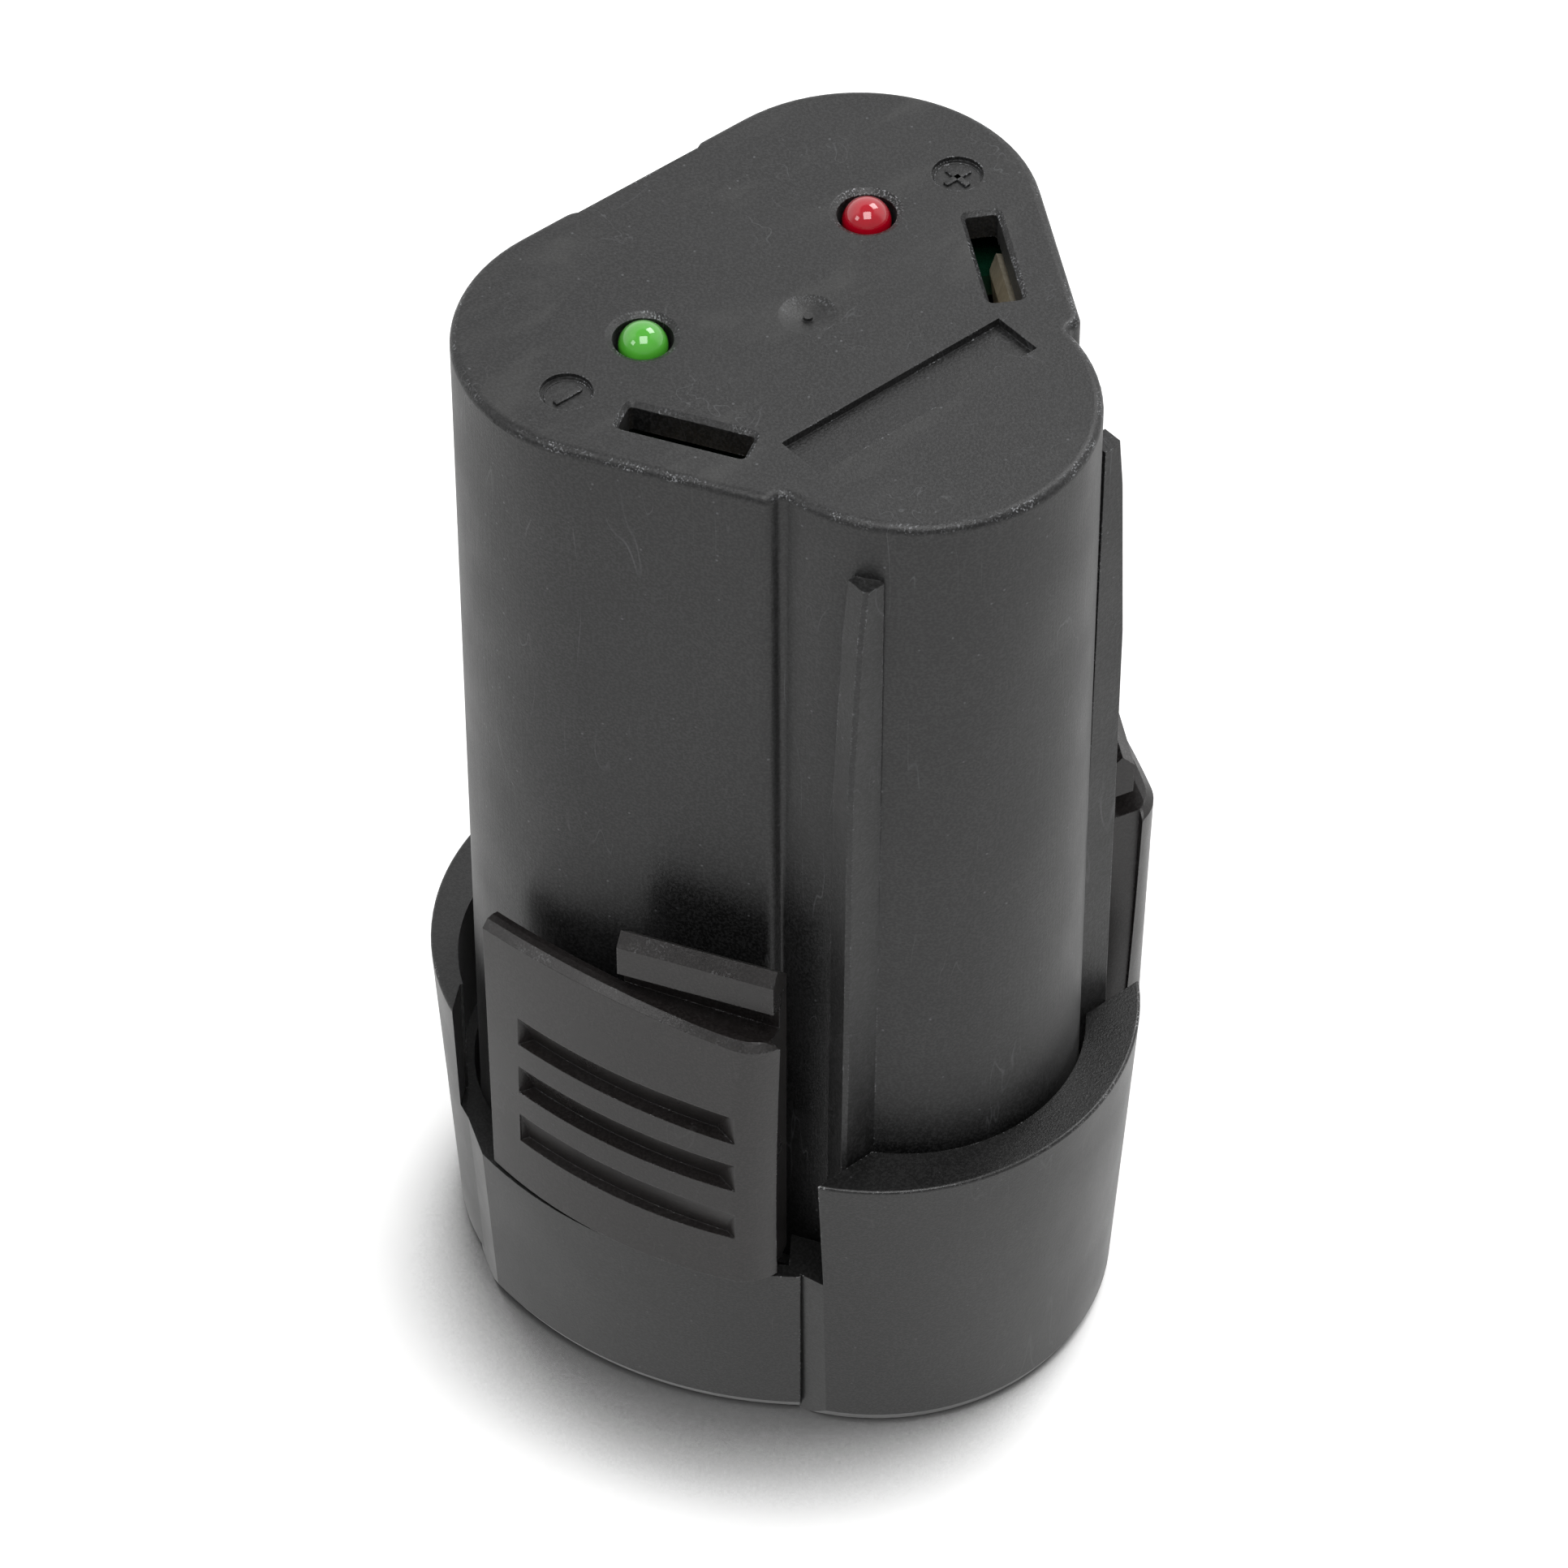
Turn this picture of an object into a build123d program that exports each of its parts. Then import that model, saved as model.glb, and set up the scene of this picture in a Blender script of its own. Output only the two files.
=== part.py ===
from build123d import *
import math
import os

# Slide-in battery pack for a small cordless tool.
# The base face is at Z = 0 and +Z is up. The Z axis runs between the three cells.
# One cell lies towards -Y, and the latches are on the left (-X) and on the right (+X).

os.makedirs("parts", exist_ok=True)

# Cells and the way they stand
cell_diameter = 18.3
cell_length = 65.2
cell_gap = 0.1

# Heights of the stack, from the base face up
floor_thickness = 3.0
pad_thickness = 1.0
strip_thickness = 0.2
sheet_thickness = 0.3
carrier_height = 3.4
board_thickness = 1.6
board_room = 2.6
roof_thickness = 2.0

# Tower
housing_wall = 1.45
lobe_room = 0.6
lobe_pull = 0.8
draft_angle = 0.4
roof_edge = 0.6
notch_shift = 1.14
notch_corner = 0.9
channel_mouth = 11.2
channel_floor = 9.3
channel_depth = 0.6

# Base cup
rim_height = 25.05
cup_swell = 6.0
cup_front_ledge = 3.52
cup_back_rim = 5.65
cup_corner_shift = 3.12
cup_taper = 2.7
cup_bottom_edge = 0.3
rim_edge = 0.2
band_height = 1.0
band_inset = 0.45
cup_play = 0.25
back_room = 1.5

# Side panel: the fixed round side of the cup under each latch
panel_top = 14.8
panel_radius = 27.8
panel_bulge = 0.38
panel_shift = 0.73
panel_wall = 1.0
panel_start = -1.8
panel_arc = 50.0
ramp_angle = 20.0
step_turn = 17.8

# Latches
plate_low_gap = 0.3
plate_height = 38.2
plate_low_radius = 32.6
plate_high_radius = 80.0
plate_back_out = 18.0
plate_back_along = 15.1
plate_front_along = 6.65
plate_front_low_out = 21.9
plate_front_high_out = 22.65
plate_thickness = 1.45
plate_rounding = 3.2
plate_edge = 0.5
plate_top_corner = 1.9
plate_low_corner = 1.5
plate_top_slope = 17.0
web_half = 5.2
foot_half = 3.6
web_shift = 0.3
web_gap = 1.95
web_thickness = 1.25
tab_reach = 1.12
tab_low = 39.9
tab_height = 2.4
tab_bevel = 0.8
foot_radius = 1.1
foot_shift = 0.3
pivot_height = 10.5
trunnion_radius = 0.75
trunnion_length = 1.1
trunnion_play = 0.05
bearing_thickness = 1.4
bearing_play = 0.3
bearing_rise = 2.2
cheek_width = 1.2
bridge_drop = 2.4

# Springs, screws and running gaps
spring_wire = 0.4
spring_radius = 1.8
spring_turns = 4
spring_pitch = 0.96
spring_play = 0.3
spring_height = 27.0
screw_radius = 1.25
screw_head_radius = 2.3
screw_head_height = 1.5
screw_length = 9.0
boss_wall = 1.0
boss_height = 12.0
fit_play = 0.05
body_gap = 0.3
overcut = 1.0

# Places that follow from the sizes above
cell_radius = cell_diameter / 2
cell_pitch = cell_diameter + cell_gap
cell_reach = cell_pitch / math.sqrt(3)
lobe_radius = cell_radius + lobe_room + housing_wall
lobe_pitch = cell_pitch - lobe_pull
lobe_reach = lobe_pitch / math.sqrt(3)
lobe_inset = lobe_reach / 2

cell_left_place = (-cell_pitch / 2, cell_reach / 2)
cell_right_place = (cell_pitch / 2, cell_reach / 2)
cell_front_place = (0, -cell_reach)
lobe_left_place = (-lobe_pitch / 2, lobe_inset)
lobe_right_place = (lobe_pitch / 2, lobe_inset)
lobe_front_place = (0, -lobe_reach)

pad_low = floor_thickness
low_strip_low = pad_low + pad_thickness
cell_low = low_strip_low + strip_thickness
cell_high = cell_low + cell_length
sheet_low = cell_high + strip_thickness
carrier_low = sheet_low + sheet_thickness
board_low = carrier_low + carrier_height
board_high = board_low + board_thickness
roof_low = board_high + board_room
pack_height = roof_low + roof_thickness

side_angle = 30
side_cos = math.cos(math.radians(side_angle))
side_sin = math.sin(math.radians(side_angle))
draft_slope = math.tan(math.radians(draft_angle))
cup_slope = math.tan(math.radians(cup_taper))
band_angle = math.degrees(math.atan(band_inset / band_height))

housing_low = floor_thickness
housing_height = pack_height - housing_low
lobe_low_radius = lobe_radius + draft_slope * housing_height
cavity_radius = lobe_radius - housing_wall
side_out = lobe_inset + lobe_radius
side_low_out = lobe_inset + lobe_low_radius


def side_place(out, along, height=0):
    """Point on the left side, from its distance outwards, its distance along and its height."""
    return (along * side_sin - out * side_cos, -along * side_cos - out * side_sin, height)


def level_plane(out, along, height):
    """Level plane on the left side: X points outwards and Y runs along the side."""
    return Plane(side_place(out, along, height), x_dir=(-side_cos, -side_sin, 0), z_dir=(0, 0, 1))


def section_plane(along):
    """Upright plane across the left side: X points outwards and Y points up."""
    origin = side_place(0, along)
    return Plane(origin, x_dir=(-side_cos, -side_sin, 0), z_dir=(-side_sin, side_cos, 0))


def facing_plane(out, along, height):
    """Upright plane that looks outwards from the left side."""
    origin = side_place(out, along, height)
    return Plane(origin, x_dir=(side_sin, -side_cos, 0), z_dir=(-side_cos, -side_sin, 0))


def lobed_outline(height, radius):
    """Outline of the tower: two back lobes, straight sides down to a notch, and the front lobe."""
    notch_y = lobe_radius - radius - lobe_reach - notch_shift
    with BuildSketch(Plane.XY.offset(height)) as outline:
        with Locations(lobe_left_place, lobe_right_place, lobe_front_place):
            Circle(radius)
        make_hull()
        with Locations((0, notch_y)):
            Rectangle(4 * radius, 2 * radius, align=(Align.CENTER, Align.MAX), mode=Mode.SUBTRACT)
        with Locations(lobe_front_place):
            Circle(radius)
    return outline.sketch


def cup_outline(height, radius):
    """Outline of the base cup: a hull round one front and two back circles."""
    with BuildSketch(Plane.XY.offset(height)) as outline:
        with Locations((0, cup_front_y), (-cup_corner_x, cup_corner_y), (cup_corner_x, cup_corner_y)):
            Circle(radius)
        make_hull()
    return outline.sketch


# Upper housing: the tower that slides into the tool's handle
lamp_x = 8.8
lamp_y = 4.47
lamp_hole_radius = 1.86
lamp_sink_radius = 2.28
lamp_sink_angle = 120
disc_x = 15.37
disc_y = 3.58
disc_radius = 1.61
disc_depth = 0.3
gate_y = -0.4
gate_radius = 1.8
gate_depth = 0.35
gate_nub_radius = 0.3
gate_nub_height = 0.25

slot_out = 12.2
slot_along = -2.95
slot_length = 7.95
slot_width = 2.05
slot_corner = 0.3
slot_lead = 0.3

recess_width = 17.0
recess_length = 3.47
recess_y = -9.75
recess_depth = 0.55

rib_reach = 7.44
rib_width = 1.6
rib_drop = 4.3
rib_tip_inset = 1.1
rib_lead_drop = 3.8
rib_lead_inset = 0.7
rib_full_drop = 16.5
rib_full_inset = 0.05
rib_edge = 0.25

boss_reach = 13.4
boss_radius = screw_radius + boss_wall
boss_count = 3
boss_angle = 90

spring_bore_radius = spring_radius + spring_wire / 2 + spring_play
spring_bore_wall = 0.7
spring_floor_wall = 0.9
spring_floor_out = 13.75

rib_front_y = -lobe_reach - rib_reach
rib_top = pack_height - rib_drop
rib_foot = panel_top + body_gap
rib_root_x = math.sqrt((lobe_radius - housing_wall / 2) ** 2 - (rib_reach - rib_width) ** 2)
rib_foot_x = lobe_radius - rib_full_inset + draft_slope * (rib_top - rib_full_drop - rib_foot)

with BuildPart() as guide_rib:
    with BuildSketch(Plane.XZ.offset(-rib_front_y)):
        with BuildLine():
            Polyline(
                (-rib_root_x, rib_foot),
                (-rib_root_x, rib_top),
                (rib_tip_inset - lobe_radius, rib_top),
                (rib_lead_inset - lobe_radius, rib_top - rib_lead_drop),
                (rib_full_inset - lobe_radius, rib_top - rib_full_drop),
                (-rib_foot_x, rib_foot),
                close=True,
            )
        make_face()
    extrude(amount=-rib_width)
    ridge_edges = guide_rib.edges().group_by(Axis.Y)[0].filter_by(lambda e: e.length > rib_width)
    chamfer(ridge_edges.sort_by(Axis.X)[:-1].filter_by(Axis.X, reverse=True), rib_edge)

with BuildPart() as spring_pocket:
    with BuildSketch(facing_plane(spring_floor_out - spring_floor_wall, 0, spring_height)):
        Circle(spring_bore_radius + spring_bore_wall)
    extrude(amount=side_out - housing_wall / 2 - spring_floor_out + spring_floor_wall)

with BuildPart() as spring_bore:
    with BuildSketch(facing_plane(spring_floor_out, 0, spring_height)):
        Circle(spring_bore_radius)
    extrude(amount=side_low_out - spring_floor_out + overcut)

with BuildPart() as blade_slot:
    with BuildSketch(level_plane(slot_out, slot_along, roof_low)):
        RectangleRounded(slot_width, slot_length, slot_corner)
    extrude(amount=roof_thickness)

with BuildPart() as upper_housing:
    extrude(lobed_outline(housing_low, lobe_low_radius), amount=housing_height, taper=draft_angle)
    upright_edges = upper_housing.edges().filter_by(lambda edge: edge.length > housing_height)
    notch_edges = upright_edges.filter_by(lambda edge: edge.center().Y < -lobe_reach).sort_by(Axis.X)
    fillet([notch_edges[0], notch_edges[-1]], notch_corner)
    fillet(upper_housing.faces().sort_by(Axis.Z)[-1].outer_wire().edges(), roof_edge)
    with BuildSketch(Plane.XY.offset(housing_low)):
        with BuildLine():
            Polyline(
                (-channel_mouth / 2, side_low_out),
                (-channel_floor / 2, side_low_out - channel_depth),
                (channel_floor / 2, side_low_out - channel_depth),
                (channel_mouth / 2, side_low_out),
                (channel_mouth / 2, side_low_out + overcut),
                (-channel_mouth / 2, side_low_out + overcut),
                close=True,
            )
        make_face()
    extrude(amount=housing_height, dir=(0, -draft_slope, 1), mode=Mode.SUBTRACT)
    add(guide_rib.part)
    mirror(guide_rib.part, about=Plane.YZ)
    extrude(lobed_outline(housing_low, cavity_radius), amount=roof_low - housing_low, mode=Mode.SUBTRACT)
    # blind pockets for the latch springs, in the gaps between the cells
    add(spring_pocket.part)
    mirror(spring_pocket.part, about=Plane.YZ)
    add(spring_bore.part, mode=Mode.SUBTRACT)
    mirror(spring_bore.part, about=Plane.YZ, mode=Mode.SUBTRACT)
    # screw bosses, in the same gaps lower down
    with BuildSketch(Plane.XY.offset(housing_low)):
        with PolarLocations(boss_reach, boss_count, start_angle=boss_angle):
            Circle(boss_radius)
    extrude(amount=boss_height)
    with BuildSketch(Plane.XY.offset(housing_low)):
        with PolarLocations(boss_reach, boss_count, start_angle=boss_angle):
            Circle(screw_radius + fit_play)
    extrude(amount=boss_height - housing_wall, mode=Mode.SUBTRACT)
    # terminal slots with a small lead-in
    add(blade_slot.part, mode=Mode.SUBTRACT)
    mirror(blade_slot.part, about=Plane.YZ, mode=Mode.SUBTRACT)
    roof_face = upper_housing.faces().filter_by(Axis.Z).sort_by(Axis.Z)[-1]
    chamfer([edge for ring in roof_face.inner_wires() for edge in ring.edges()], slot_lead)
    # lamp holes, polarity recesses, gate dimple and the bare recess
    with BuildSketch(Plane.XY.offset(pack_height)):
        with Locations((-disc_x, disc_y), (disc_x, disc_y)):
            Circle(disc_radius)
    extrude(amount=-disc_depth, mode=Mode.SUBTRACT)
    with BuildSketch(Plane.XY.offset(pack_height)):
        with Locations((0, recess_y)):
            Rectangle(recess_width, recess_length)
    extrude(amount=-recess_depth, mode=Mode.SUBTRACT)
    gate_ball_radius = (gate_radius**2 + gate_depth**2) / (2 * gate_depth)
    with Locations((0, gate_y, pack_height + gate_ball_radius - gate_depth)):
        Sphere(gate_ball_radius, mode=Mode.SUBTRACT)
    with Locations((0, gate_y, pack_height - gate_depth)):
        Cylinder(gate_nub_radius, 2 * gate_nub_height)
    with Locations((-lamp_x, lamp_y, pack_height), (lamp_x, lamp_y, pack_height)):
        CounterSinkHole(lamp_hole_radius, lamp_sink_radius, roof_thickness, lamp_sink_angle)
upper_housing.part.label = "upper_housing"
export_step(upper_housing.part, "parts/upper_housing.step")

# Base cup: closes the pack from below and carries the latches
cup_radius = lobe_radius + cup_swell
cup_front_y = cup_radius - lobe_reach - lobe_radius - cup_front_ledge
cup_corner_x = lobe_pitch / 2 - cup_corner_shift
cup_corner_y = lobe_inset + lobe_radius + cup_back_rim - cup_radius
cup_band_radius = cup_radius - cup_slope * (rim_height - band_height)
cup_panel_radius = cup_radius - cup_slope * (rim_height - panel_top)
flank_x = panel_radius - cup_corner_x - cup_radius - panel_bulge
flank_y = lobe_inset - panel_shift
flank_axis = Axis((flank_x, flank_y, 0), (0, 0, 1))
pocket_radius = lobe_low_radius + cup_play
opening_front_y = rib_front_y - cup_play
opening_back_y = 9.0
opening_back_angle = 40
opening_inner_x = 9.0
chamber_floor = 5.0

pivot_out = side_out + web_gap + foot_shift
bearing_in = side_low_out + body_gap
bearing_high = pivot_height + bearing_rise
snap_width = 1.3
screw_seat_depth = 1.8
screw_play = 0.25


def panel_radius_at(height):
    """Radius of the side panel at a height: it narrows downwards with the cup."""
    return panel_radius - cup_slope * (panel_top - height)


def flank_plane(angle):
    """Upright plane through the panel's axis: X points out to the left side, turned towards the front."""
    turn = math.radians(angle)
    x_dir = (-math.cos(turn), -math.sin(turn), 0)
    return Plane((flank_x, flank_y, 0), x_dir=x_dir, z_dir=(-math.sin(turn), math.cos(turn), 0))


def wall_plane(x, y, turn):
    """Plane that looks out to the left side, turned towards the back, and leans with the cup's taper."""
    side, back = math.cos(math.radians(turn)), math.sin(math.radians(turn))
    lean_cos, lean_sin = math.cos(math.radians(cup_taper)), math.sin(math.radians(cup_taper))
    outwards = (-side * lean_cos, back * lean_cos, -lean_sin)
    return Plane((x, y, panel_top), x_dir=(back, side, 0), z_dir=outwards)


panel_depth = 8.0
panel_tail = 8.0
panel_foot_radius = panel_radius_at(0) - band_inset
panel_back_x = flank_x - panel_radius * math.cos(math.radians(panel_start))
panel_back_y = flank_y - panel_radius * math.sin(math.radians(panel_start))
ramp_reach = 9.0
step_reach = 2.8
wall_cut_height = 4 * panel_top
wall_cut_depth = 6.0

with BuildPart() as side_panel:
    with BuildSketch(flank_plane(panel_start - panel_tail)):
        with BuildLine():
            bottom = Line((panel_foot_radius - panel_depth, 0), (panel_foot_radius - cup_bottom_edge, 0))
            bend_high = panel_foot_radius + band_inset * cup_bottom_edge / band_height
            bend = TangentArc(bottom @ 1, (bend_high, cup_bottom_edge), tangent=(1, 0))
            Polyline(
                bend @ 1,
                (panel_radius_at(band_height), band_height),
                (panel_radius, panel_top),
                (panel_foot_radius - panel_depth, panel_top),
                bottom @ 0,
            )
        make_face()
    revolve(axis=flank_axis, revolution_arc=panel_arc + panel_tail)
    # the ramp that lets the panel's back end down to the cup's wall
    with BuildSketch(wall_plane(panel_back_x, panel_back_y, ramp_angle - panel_start)):
        Rectangle(2 * ramp_reach, wall_cut_height)
    extrude(amount=wall_cut_depth, mode=Mode.SUBTRACT)

# Narrow step beside the panel's front end, cut back from the cup's wall
step_x = math.sqrt(cup_panel_radius**2 - (opening_front_y - cup_front_y) ** 2)

with BuildPart() as wall_step:
    with BuildSketch(wall_plane(-step_x, opening_front_y, -step_turn)):
        Rectangle(2 * step_reach, wall_cut_height)
    extrude(amount=wall_cut_depth)

chamber_depth = 11.0
chamber_end_angle = 1.6
chamber_radius = panel_radius - panel_wall

with BuildPart() as latch_chamber:
    with BuildSketch(flank_plane(panel_start + chamber_end_angle)):
        with BuildLine():
            Polyline(
                (panel_radius_at(chamber_floor) - panel_wall, chamber_floor),
                (chamber_radius, panel_top),
                (chamber_radius - chamber_depth, panel_top),
                (chamber_radius - chamber_depth, chamber_floor),
                close=True,
            )
        make_face()
    revolve(axis=flank_axis, revolution_arc=panel_arc - 2 * chamber_end_angle)

opening_run = 12.0
opening_inner_share = 0.2
opening_back_x = cup_corner_x + math.sqrt(cup_radius**2 - (opening_back_y - cup_corner_y) ** 2)
opening_step_x = opening_run * math.cos(math.radians(opening_back_angle))
opening_step_y = opening_run * math.sin(math.radians(opening_back_angle))

with BuildPart() as side_opening:
    with BuildSketch(Plane.XY.offset(panel_top)):
        with BuildLine():
            Polyline(
                (-opening_back_x - opening_step_x, opening_front_y),
                (-opening_inner_x, opening_front_y),
                (-opening_inner_x, lobe_inset),
                (
                    -opening_back_x + opening_inner_share * opening_step_x,
                    opening_back_y + opening_inner_share * opening_step_y,
                ),
                (-opening_back_x - opening_step_x, opening_back_y - opening_step_y),
                close=True,
            )
        make_face()
    extrude(amount=rim_height - panel_top + overcut)

bearing_places = (
    web_shift - foot_half - bearing_play - bearing_thickness / 2,
    web_shift + foot_half + bearing_play + bearing_thickness / 2,
)

with BuildPart() as bearings:
    for place in bearing_places:
        with BuildSketch(section_plane(place)):
            with Locations((bearing_in, chamber_floor - overcut)):
                Rectangle(
                    panel_radius - flank_x - bearing_in,
                    bearing_high - chamber_floor + overcut,
                    align=(Align.MIN, Align.MIN),
                )
            with Locations((pivot_out, pivot_height)):
                Circle(trunnion_radius + trunnion_play, mode=Mode.SUBTRACT)
                Rectangle(snap_width, 2 * bearing_rise, align=(Align.CENTER, Align.MIN), mode=Mode.SUBTRACT)
        extrude(amount=bearing_thickness / 2, both=True)
    with Locations((flank_x, flank_y, 0)):
        Cone(
            panel_radius_at(0) - panel_wall / 2,
            panel_radius - panel_wall / 2,
            panel_top,
            align=(Align.CENTER, Align.CENTER, Align.MIN),
            mode=Mode.INTERSECT,
        )

with BuildPart() as cup_band:
    extrude(cup_outline(0, cup_band_radius - band_inset), amount=band_height, taper=-band_angle)
    fillet(cup_band.faces().sort_by(Axis.Z)[0].outer_wire().edges(), cup_bottom_edge)

with BuildPart() as base_cup:
    extrude(cup_outline(band_height, cup_band_radius), amount=rim_height - band_height, taper=-cup_taper)
    fillet(base_cup.faces().sort_by(Axis.Z)[-1].outer_wire().edges(), rim_edge)
    add(cup_band.part)
    add(wall_step.part, mode=Mode.SUBTRACT)
    mirror(wall_step.part, about=Plane.YZ, mode=Mode.SUBTRACT)
    add(side_panel.part)
    mirror(side_panel.part, about=Plane.YZ)
    # the tower's pocket, wider behind the back lobes above the panels
    with BuildSketch(Plane.XY.offset(floor_thickness)):
        with Locations(lobe_front_place, lobe_left_place, lobe_right_place):
            Circle(pocket_radius)
        make_hull()
    extrude(amount=rim_height - floor_thickness, mode=Mode.SUBTRACT)
    with BuildSketch(Plane.XY.offset(panel_top)):
        with Locations(lobe_left_place, lobe_right_place):
            Circle(lobe_radius + back_room)
        make_hull()
    extrude(amount=rim_height - panel_top, mode=Mode.SUBTRACT)
    add(latch_chamber.part, mode=Mode.SUBTRACT)
    mirror(latch_chamber.part, about=Plane.YZ, mode=Mode.SUBTRACT)
    add(side_opening.part, mode=Mode.SUBTRACT)
    mirror(side_opening.part, about=Plane.YZ, mode=Mode.SUBTRACT)
    add(bearings.part)
    mirror(bearings.part, about=Plane.YZ)
    # screw seats sunk into the base face
    with BuildSketch(Plane.XY):
        with PolarLocations(boss_reach, boss_count, start_angle=boss_angle):
            Circle(screw_head_radius + screw_play)
    extrude(amount=screw_seat_depth, mode=Mode.SUBTRACT)
    with BuildSketch(Plane.XY):
        with PolarLocations(boss_reach, boss_count, start_angle=boss_angle):
            Circle(screw_radius + screw_play)
    extrude(amount=floor_thickness, mode=Mode.SUBTRACT)
base_cup.part.label = "base_cup"
export_step(base_cup.part, "parts/base_cup.step")

# Latch: curved button plate with louvred grip, web, hook tab, foot and trunnions in one moulding
plate_low = panel_top + plate_low_gap
web_in = side_out + web_gap
web_out = web_in + web_thickness
tab_out = web_out + tab_reach
tab_face_high = tab_low + tab_height
tab_high = tab_face_high + tab_bevel
tab_back_drop = 1.7
tab_root_drop = 0.35

plate_depth = 6.0
plate_overrun = 6.0
core_depth = plate_depth + plate_thickness
post_radius = spring_radius - spring_wire / 2 - spring_play
post_height = 1.1
cheek_places = (web_shift - web_half + cheek_width / 2, web_shift, web_shift + web_half - cheek_width / 2)


def plate_curve(front_out, radius):
    """Round side of the plate on a level: its centre, outwards and along the side, and its end angles."""
    chord_out = front_out - plate_back_out
    chord_along = plate_front_along + plate_back_along
    half_chord = math.hypot(chord_out, chord_along) / 2
    run = math.sqrt(radius**2 - half_chord**2) / (2 * half_chord)
    centre_out = (plate_back_out + front_out) / 2 - run * chord_along
    centre_along = (plate_front_along - plate_back_along) / 2 + run * chord_out
    start = math.degrees(math.atan2(-plate_back_along - centre_along, plate_back_out - centre_out))
    end = math.degrees(math.atan2(plate_front_along - centre_along, front_out - centre_out))
    return (centre_out, centre_along), start, end


def plate_section(height, front_out, radius, inset, depth, overrun):
    """Level section of the plate's form, set in from its round side and longer by an angle at each end."""
    centre, start, end = plate_curve(front_out, radius)
    start, sweep_angle = start - overrun, end - start + 2 * overrun
    with BuildSketch(level_plane(0, 0, height)) as section:
        with BuildLine():
            face = CenterArc(centre, radius - inset, start, sweep_angle)
            back = CenterArc(centre, radius - depth, start, sweep_angle)
            Line(face @ 0, back @ 0)
            Line(face @ 1, back @ 1)
        make_face()
        if not inset:
            fillet(section.vertices().sort_by_distance(Vector(face @ 1))[0], plate_rounding)
    return section.sketch


def plate_core(inset):
    """The space behind the plate's round side, from below the plate to above it."""
    with BuildPart() as core:
        sizes = (inset, core_depth, plate_overrun)
        low = plate_section(plate_low - overcut, plate_front_low_out, plate_low_radius, *sizes)
        high = plate_section(plate_height + overcut, plate_front_high_out, plate_high_radius, *sizes)
        loft([low, high], ruled=True)
    return core.part


with BuildPart() as plate_form:
    low_section = plate_section(plate_low, plate_front_low_out, plate_low_radius, 0, plate_depth, 0)
    high_section = plate_section(plate_height, plate_front_high_out, plate_high_radius, 0, plate_depth, 0)
    loft([low_section, high_section], ruled=True)
    top_edges = plate_form.faces().sort_by(Axis.Z)[-1].edges()
    face_edge = top_edges.sort_by_distance(Vector(side_place(2 * plate_front_high_out, 0, plate_height)))[0]
    chamfer(face_edge, plate_edge)
    # the face's outline, with two of its corners rounded
    with BuildSketch(facing_plane(0, 0, 0)) as face_outline:
        with BuildLine():
            Polyline(
                (-plate_back_along, plate_low),
                (plate_front_along, plate_low),
                (plate_front_along, plate_height),
                (-plate_back_along, plate_height),
                close=True,
            )
        make_face()
        corners = face_outline.vertices().sort_by(lambda corner: corner.X + corner.Y)
        fillet(corners[-1], plate_top_corner)
        fillet(corners[0], plate_low_corner)
    extrude(amount=2 * plate_front_high_out, mode=Mode.INTERSECT)

grip_height = (plate_low + plate_height) / 2
grip_middle_radius = 2 / (1 / plate_low_radius + 1 / plate_high_radius)
grip_centre, grip_back, grip_front = plate_curve(
    (plate_front_low_out + plate_front_high_out) / 2, grip_middle_radius
)
grip_axis_place = side_place(*grip_centre)
grip_axis = Axis(grip_axis_place, (0, 0, 1))
grip_start = 3.4
grip_arc = 20.4
grip_lean = 0.4
scoop_tops = (31.2, 26.6, 22.0)
scoop_lows = (28.7, 24.1, 19.4)
scoop_depths = (0.95, 0.95, 0.6)
scoop_hollow = 0.12
scoop_back_run = 0.5
scoop_front_run = 1.5


def grip_plane(angle):
    """Upright plane through the plate's middle curve, from its back end towards its front by an angle."""
    turn = math.radians(grip_back + angle)
    x_dir = side_place(math.cos(turn), math.sin(turn))
    return Plane(grip_axis_place, x_dir=x_dir, z_dir=side_place(math.sin(turn), -math.cos(turn)))


def grip_radius_at(height):
    """Distance of the plate's face from the grip's axis, at its middle and at a height."""
    return grip_middle_radius - grip_lean * (height - grip_height) / (plate_height - plate_low)


def end_plane(angle, run, depth, forward):
    """Plane across a scoop's end: it slopes in from the face by a run along it for a depth."""
    turn = math.radians(grip_back + angle)
    out = grip_centre[0] + grip_middle_radius * math.cos(turn)
    along = grip_centre[1] + grip_middle_radius * math.sin(turn)
    tilt = turn + forward * math.atan2(run, depth)
    normal = side_place(forward * -math.sin(tilt), forward * math.cos(tilt))
    return Plane(side_place(out, along), x_dir=(0, 0, 1), z_dir=normal)


with BuildPart() as grip:
    for scoop_top, scoop_low, scoop_depth in zip(scoop_tops, scoop_lows, scoop_depths):
        with BuildSketch(grip_plane(grip_start)):
            with BuildLine():
                scoop_root = (grip_radius_at(scoop_low) - scoop_depth, scoop_low)
                scoop_middle = (
                    (grip_radius_at(scoop_top) + scoop_root[0]) / 2 - scoop_hollow,
                    (scoop_top + scoop_low) / 2,
                )
                ThreePointArc((grip_radius_at(scoop_top), scoop_top), scoop_middle, scoop_root)
                Polyline(
                    scoop_root,
                    (grip_radius_at(scoop_low) + overcut, scoop_low),
                    (grip_radius_at(scoop_top) + overcut, scoop_top),
                    (grip_radius_at(scoop_top), scoop_top),
                )
            make_face()
        revolve(axis=grip_axis, revolution_arc=grip_arc)
    deepest = max(scoop_depths)
    split(bisect_by=end_plane(grip_start, scoop_back_run, deepest, -1), keep=Keep.BOTTOM)
    split(bisect_by=end_plane(grip_start + grip_arc, scoop_front_run, deepest, 1), keep=Keep.BOTTOM)

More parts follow.
